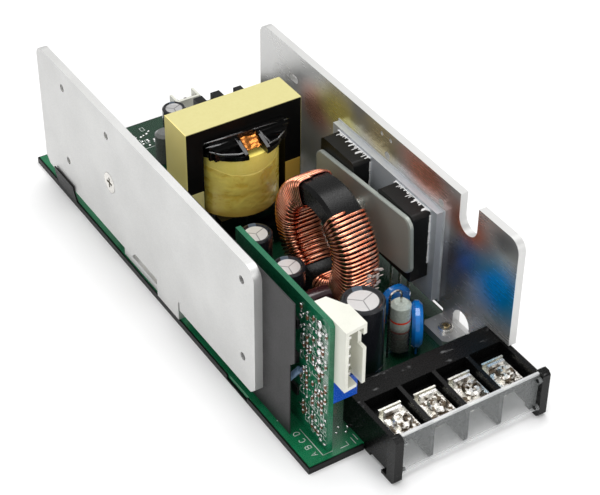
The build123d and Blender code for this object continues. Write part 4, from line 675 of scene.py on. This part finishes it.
# Small things on the boards
PRINT_RISE = 0.01
LETTER_HEIGHT, LETTER_FOOT, LETTER_SIDES = 2.2, 5.6, (3.4, 7.3, 11.1, 14.9)
LETTERS = (
    ([(0, 0), (0.5, 1), (1, 0)], [(0.2, 0.35), (0.8, 0.35)]),
    ([(0, 0), (0, 1), (0.7, 1), (0.95, 0.76), (0.7, 0.53), (0, 0.53)],
     [(0.7, 0.53), (1, 0.3), (0.7, 0), (0, 0)]),
    ([(1, 0.18), (0.7, 0), (0.3, 0), (0, 0.3), (0, 0.7), (0.3, 1), (0.7, 1), (1, 0.82)],),
    ([(0, 0), (0, 1), (0.6, 1), (1, 0.7), (1, 0.3), (0.6, 0), (0, 0)],),
)


def letter(strokes, left):
    """Strokes of a letter in a unit square, read along y, with its left side at a y."""
    high = LETTER_HEIGHT
    return [[(LETTER_FOOT - v * high, left + u * high * 0.65) for u, v in line] for line in strokes]


def box(x, y, wide, tall):
    """The closed outline of a rectangle from its first corner."""
    return [(x, y), (x + wide, y), (x + wide, y + tall), (x, y + tall), (x, y)]


# Outlines of parts and of joints that are printed on the board
BOARD_LINES = [
    [(6.8, 17.0), (6.8, 2.2), (10.8, 2.2)],
    [(13.6, 1.8), (17.0, 1.8), (17.0, 3.6)],
    [(19.4, 4.4), (19.4, 1.0)],
    [(21.0, 5.4), (21.0, 2.2)],
    [(22.6, 3.2), (22.6, 0.8)],
    [(2.2, 24.5), (3.9, 24.5)],
    box(30.0, 200.0, 8.0, 6.0),
    [(12.0, 190.0), (12.0, 204.0), (24.0, 204.0)],
    [(40.5, 192.0), (47.0, 192.0), (47.0, 196.5)],
]
FRONT_PADS = [(18.4, 10.6), (19.6, 7.4), (16.4, 8.6), (15.6, 12.4), (21.4, 9.2)]


def add_board_print():
    """Pin letters, outlines and tinned pads on the free corners of the board."""
    lines = []
    for strokes, left in zip(LETTERS, LETTER_SIDES):
        lines += letter(strokes, left)
    lines += BOARD_LINES
    for x, y in np.random.default_rng(12).uniform((36.0, 194.0), (46.0, 206.0), (7, 2)):
        lines.append(box(x, y, 1.6, 2.4))
    lines = [[(x, y, PRINT_RISE) for x, y in line] for line in lines]
    add_print("board_print", lines, (0, 0, 1), 0.35)
    rear_pads = np.random.default_rng(11).uniform((36.0, 193.0), (48.0, 208.5), (22, 2))
    pads = [(x, y, 0.1) for x, y in [*FRONT_PADS, *rear_pads]]
    add_lumps("board_pads", dabs(pads, (0.6, 0.6, 0.35), 3), FINISHES["solder"])


# Fine rows of print on the control card, as y from and to and z from and to, and outlines of
# chips as their first corners in y and z
CARD_ROWS = ((4.0, 7.6, 38.0, 53.0), (3.6, 6.6, 27.0, 34.0))
CARD_BOXES = (
    (14.6, 8.0), (11.6, 13.0), (8.6, 7.0), (5.6, 12.0), (12.0, 4.0), (16.0, 15.0), (9.0, 18.0)
)
HEADER_PINS, HEADER_PITCH, HEADER_MIDDLE = 6, 3.96, (8.0, 44.1)


def card_spots(count, seed):
    """Seeded places on a grid over the control card's left face, as y and z."""
    random = np.random.default_rng(seed)
    y, z = np.meshgrid(np.arange(4.6, 20.0, 1.9), np.arange(2.4, 54.0, 2.2), indexing="ij")
    spots = np.stack([y.ravel(), z.ravel()], 1)
    return spots[random.permutation(len(spots))[:count]]


def add_card_parts():
    """Chip parts with tinned ends, solder and print on the control card's left face."""
    random = np.random.default_rng(6)
    bodies, ends, lines = [], [], []
    for number, (y, z) in enumerate(card_spots(150, 5)):
        if number % 3 == 0:
            bodies.append((CARD_FACE - 0.3, y, z))
            ends += [(CARD_FACE - 0.3, y, z - 0.85), (CARD_FACE - 0.3, y, z + 0.85)]
        elif number % 3 == 1:
            ends.append((CARD_FACE - 0.25, y + random.uniform(-0.4, 0.4), z))
        else:
            a, b = random.uniform(0.5, 0.9), random.uniform(0.5, 1.0)
            lines.append(box(y - a, z - b, 2 * a, 2 * b)[:5 if number % 2 else 3])
    for y0, y1, z0, z1 in CARD_ROWS:
        lines += [[(y0, z), (y1, z)] for z in np.arange(z0, z1, 0.75)]
    lines += [box(y, z, 2.2, 3.6) for y, z in CARD_BOXES]
    shape = lumps(np.array(bodies), np.tile([0.35, 0.5, 0.8], (len(bodies), 1)), 0.2, 5)
    add_lumps("card_chip_parts", shape, BROWN_PART)
    add_lumps("card_solder", dabs(ends, (0.4, 0.65, 0.5), 8, 0.5), FINISHES["solder"])
    lines = [[(CARD_FACE - PRINT_RISE, y, z) for y, z in line] for line in lines]
    add_print("card_print", lines, (-1, 0, 0), 0.36)
    y, z = HEADER_MIDDLE
    rise = (np.arange(HEADER_PINS) - (HEADER_PINS - 1) / 2) * HEADER_PITCH
    tails = dabs([(CARD_FACE - 0.7, y, z + up) for up in rise], (0.75, 1.25, 1.25), 4, 0.15)
    add_lumps("pin_solder", tails, FINISHES["solder"])


def add_paste():
    """White heat paste that was squeezed out along the tops and ends of the capped devices."""
    random = np.random.default_rng(21)
    count = 90
    up = np.tile([0.0, 0.0, 1.0], (count, 1))
    places, halves, seams = [], [], []
    for start in DEVICE_STARTS:
        end = start + DEVICE_LENGTH
        x = 79.25 + random.uniform(-0.12, 0.05, count)
        z = DEVICE_TOP + random.uniform(-0.04, 0.12, count)
        seam = np.stack([x, np.linspace(start, end, count), z], 1)
        seams.append(tube_grid(seam, random.uniform(0.08, 0.26, count), up, 6))
        for y in np.arange(start + 0.6, end, 0.55):
            reach = random.uniform(0.0, 1.0) ** 4 * 1.6 + 0.18
            places.append((79.3 - reach, y, DEVICE_TOP))
            halves.append((reach, random.uniform(0.12, 0.34), 0.12))
        for z in np.arange(24.0, 46.0, 1.1):
            places.append((79.1, start - 0.05, z))
            halves.append((random.uniform(0.25, 0.6), 0.16, random.uniform(0.4, 1.0)))
    blobs = lumps(np.array(places), np.array(halves), 0.6, 6)
    add_tubes("heat_paste_seams", seams, PASTE)
    add_lumps("heat_paste", blobs, PASTE)


def add_foil():
    """Crumpled copper foil in the notch of the bobbin: a sloping sheet, its height shaken."""
    random = np.random.default_rng(31)
    u, v = np.meshgrid(np.linspace(0, 1, 11), np.linspace(0, 1, 9), indexing="ij")
    x = 42.2 + 7.0 * v + 0.5 * (v - 0.5) * (1 - u)
    y = 116.4 - 5.0 * u
    z = 50.2 - 3.0 * u + random.uniform(-0.45, 0.45, u.shape)
    top = np.stack([x, y, z], -1)
    under = top[:, ::-1] - np.array([0.0, 0.0, 0.25])
    add_tubes("copper_foil", [np.concatenate([top, under], 1)], FOIL)


# Lines of the folds in the film above the transformer's coil
FOLD_LINES = (
    [(27.4, 116.9, 52.4), (36.0, 116.6, 52.2), (46.0, 116.9, 51.6), (55.0, 116.7, 51.3),
     (64.2, 116.9, 50.6)],
    [(27.9, 116.4, 50.7), (34.0, 115.9, 50.3), (41.0, 116.2, 50.0)],
    [(51.4, 116.2, 50.2), (57.0, 115.8, 49.9), (63.6, 116.2, 49.2)],
    [(28.4, 115.2, 49.4), (32.0, 112.6, 48.2), (38.5, 110.4, 47.4), (42.0, 109.8, 47.6)],
    [(51.2, 109.9, 47.8), (56.0, 111.2, 47.6), (60.6, 113.6, 48.4)],
    [(40.2, 116.0, 50.6), (41.4, 113.4, 48.6), (42.4, 110.6, 47.2)],
    [(50.6, 116.0, 50.6), (51.6, 113.2, 48.8), (52.6, 110.4, 47.4)],
)


def add_folds():
    """Folds of black insulating film above the coil, whose glossy ridges catch the light:
    tubes along lines, thickest at their middles."""
    grids = []
    for points in map(np.array, FOLD_LINES):
        knots = np.arange(len(points))
        steps = np.linspace(0, len(points) - 1, 6 * len(points))
        path = np.stack([np.interp(steps, knots, points[:, axis]) for axis in range(3)], 1)
        radius = 0.5 * np.sin(np.linspace(0.15, math.pi - 0.15, len(path))) ** 0.4
        grids.append(tube_grid(path, radius, np.tile([0.0, 0.0, 1.0], (len(path), 1)), 8))
    add_tubes("insulation_folds", grids, FOLD)


def add_clamp():
    """The clamp plate as the photograph has it, turned a little on its screw: a rounded plate
    with a bore, its outline cut at even angles about the bore."""
    x0, x1, chamfer = 69.7, 71.7, 0.3
    middle, half, corner = np.array([74.45, 32.0]), np.array([31.05, 12.0]), 4.0
    bore, bore_r, turn = np.array([74.45, 34.0]), 2.2, math.radians(4.4)
    angle = np.linspace(0, 2 * math.pi, 120, endpoint=False)
    c, s = np.cos(angle), np.sin(angle)
    along = np.sign(c) * (half[0] - corner) + corner * c
    rise = np.sign(s) * (half[1] - corner) + corner * s
    hole = bore + bore_r * np.stack([c, s], 1)
    c, s = math.cos(turn), math.sin(turn)
    outline = middle + np.stack([c * along + s * rise, c * rise - s * along], 1)
    inner = middle + (outline - middle) * (1 - chamfer / half[1])
    left = ((hole, x0), (inner, x0), (outline, x0 + chamfer))
    right = ((outline, x1 - chamfer), (inner, x1), (hole, x1))
    layers = [np.insert(loop, 0, x, axis=1) for loop, x in left + right]
    points = np.stack(layers, 1).reshape(-1, 3)
    faces = join_faces(len(angle), len(layers), True, True)
    piece = add_mesh("clamp_plate", points, faces, FINISHES["clamp_metal"], False)
    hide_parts("device_clamp")


def add_glue():
    """Dried glue that lies between the front coil's turns low on its right side."""
    count, radius = 46, 25.45
    random = np.random.default_rng(41)
    angle = np.radians(random.uniform(-38, 2, count))
    across = random.uniform(1.5, 7.6, count)
    places = RING + np.stack([across, -radius * np.cos(angle), radius * np.sin(angle)], 1)
    add_lumps("coil_glue", dabs(places, (0.8, 0.3, 0.35), 42, 0.5), GLUE)


add_winding("front_coil_wire", -1, 80.0, "choke_winding_front")
add_winding("rear_coil_wire", 1, 68.0, "choke_winding_rear")
add_board_print()
add_card_parts()
add_paste()
add_foil()
add_folds()
add_clamp()
add_glue()


# Floor, light and camera, in metres in the shared frame
def add_floor():
    """A wide pale sheet at the height on which the object rests."""
    side = 6.0
    mesh = bpy.data.meshes.new("floor")
    corners = [(-side, -side, 0), (side, -side, 0), (side, side, 0), (-side, side, 0)]
    mesh.from_pydata(corners, [], [(0, 1, 2, 3)])
    floor = bpy.data.objects.new("floor", mesh)
    bpy.context.scene.collection.objects.link(floor)
    f = Finish("floor_pale")
    cloud = f.noise(0.002, 2.0)
    f.set(Base_Color=f.mix(cloud, grey(0.93), grey(0.96)), Roughness=0.8)
    mesh.materials.append(f.material)


def add_turned(name, data, right, up, back, spot):
    """A lamp or camera at a spot, by its own three axes; it looks against back."""
    made = bpy.data.objects.new(name, data)
    bpy.context.scene.collection.objects.link(made)
    rows = [[right[i], up[i], back[i], spot[i]] for i in range(3)]
    made.matrix_world = Matrix(rows + [[0, 0, 0, 1]])
    return made


def add_area(name, spot, aim, size, power):
    """A rectangular lamp that shines from a spot to an aim."""
    data = bpy.data.lights.new(name, "AREA")
    data.shape = "RECTANGLE"
    data.size, data.size_y = size
    data.energy = power
    back = np.array(spot, float) - np.array(aim, float)
    back /= np.linalg.norm(back)
    right = np.cross((0.0, 0.0, 1.0), back)
    right /= np.linalg.norm(right)
    add_turned(name, data, right, np.cross(back, right), back, spot)


def add_light():
    """A white room, with large lamps above, at the left and in front, and plain colours."""
    world = bpy.data.worlds.new("studio")
    world.use_nodes = True
    world.node_tree.nodes["Background"].inputs["Color"].default_value = (1.0, 1.0, 1.0, 1.0)
    world.node_tree.nodes["Background"].inputs["Strength"].default_value = 0.45
    bpy.context.scene.world = world
    add_area("top_light", (0.1, 0.25, 1.3), (0, 0, 0), (1.1, 1.1), 15.0)
    add_area("left_light", (-1.0, -0.5, 0.7), (0, 0, 0.02), (0.7, 0.7), 3.2)
    add_area("front_light", (0.3, -1.2, 0.6), (0, -0.05, 0.02), (0.6, 0.5), 4.6)
    settings = bpy.context.scene.view_settings
    settings.view_transform = "Standard"
    settings.look = "None"


# The photo's camera in degrees, mm on the board and pixels of the picture's width
AZIMUTH, ELEVATION, ROLL = -32.485, 38.63, 0.482
CAMERA_PLACE = np.array([-217.9, -334.6, 414.0])
FOCAL_PIXELS, PICTURE_WIDTH, MIDDLE_SHIFT = 1695.49, 600.0, (0.8, -1.1)
SENSOR_WIDTH = 36.0


def add_camera():
    """The photo's view: direction, roll and place found from the board's and the plates' edges."""
    azimuth, elevation, roll = (math.radians(v) for v in (AZIMUTH, ELEVATION, ROLL))
    level = np.array([math.sin(azimuth), -math.cos(azimuth), 0.0])
    back = level * math.cos(elevation) + np.array([0.0, 0.0, math.sin(elevation)])
    right = np.array([math.cos(azimuth), math.sin(azimuth), 0.0])
    up = np.cross(back, right)
    turned = math.cos(roll) * right + math.sin(roll) * up
    rise = math.cos(roll) * up - math.sin(roll) * right
    data = bpy.data.cameras.new("camera")
    data.sensor_width = SENSOR_WIDTH
    data.lens = FOCAL_PIXELS * SENSOR_WIDTH / PICTURE_WIDTH
    data.shift_x, data.shift_y = (shift / PICTURE_WIDTH for shift in MIDDLE_SHIFT)
    data.clip_start, data.clip_end = 0.01, 20.0
    spot = (CAMERA_PLACE + BOARD) / MM_PER_M
    bpy.context.scene.camera = add_turned("camera", data, turned, rise, back, spot)


add_floor()
add_light()
add_camera()
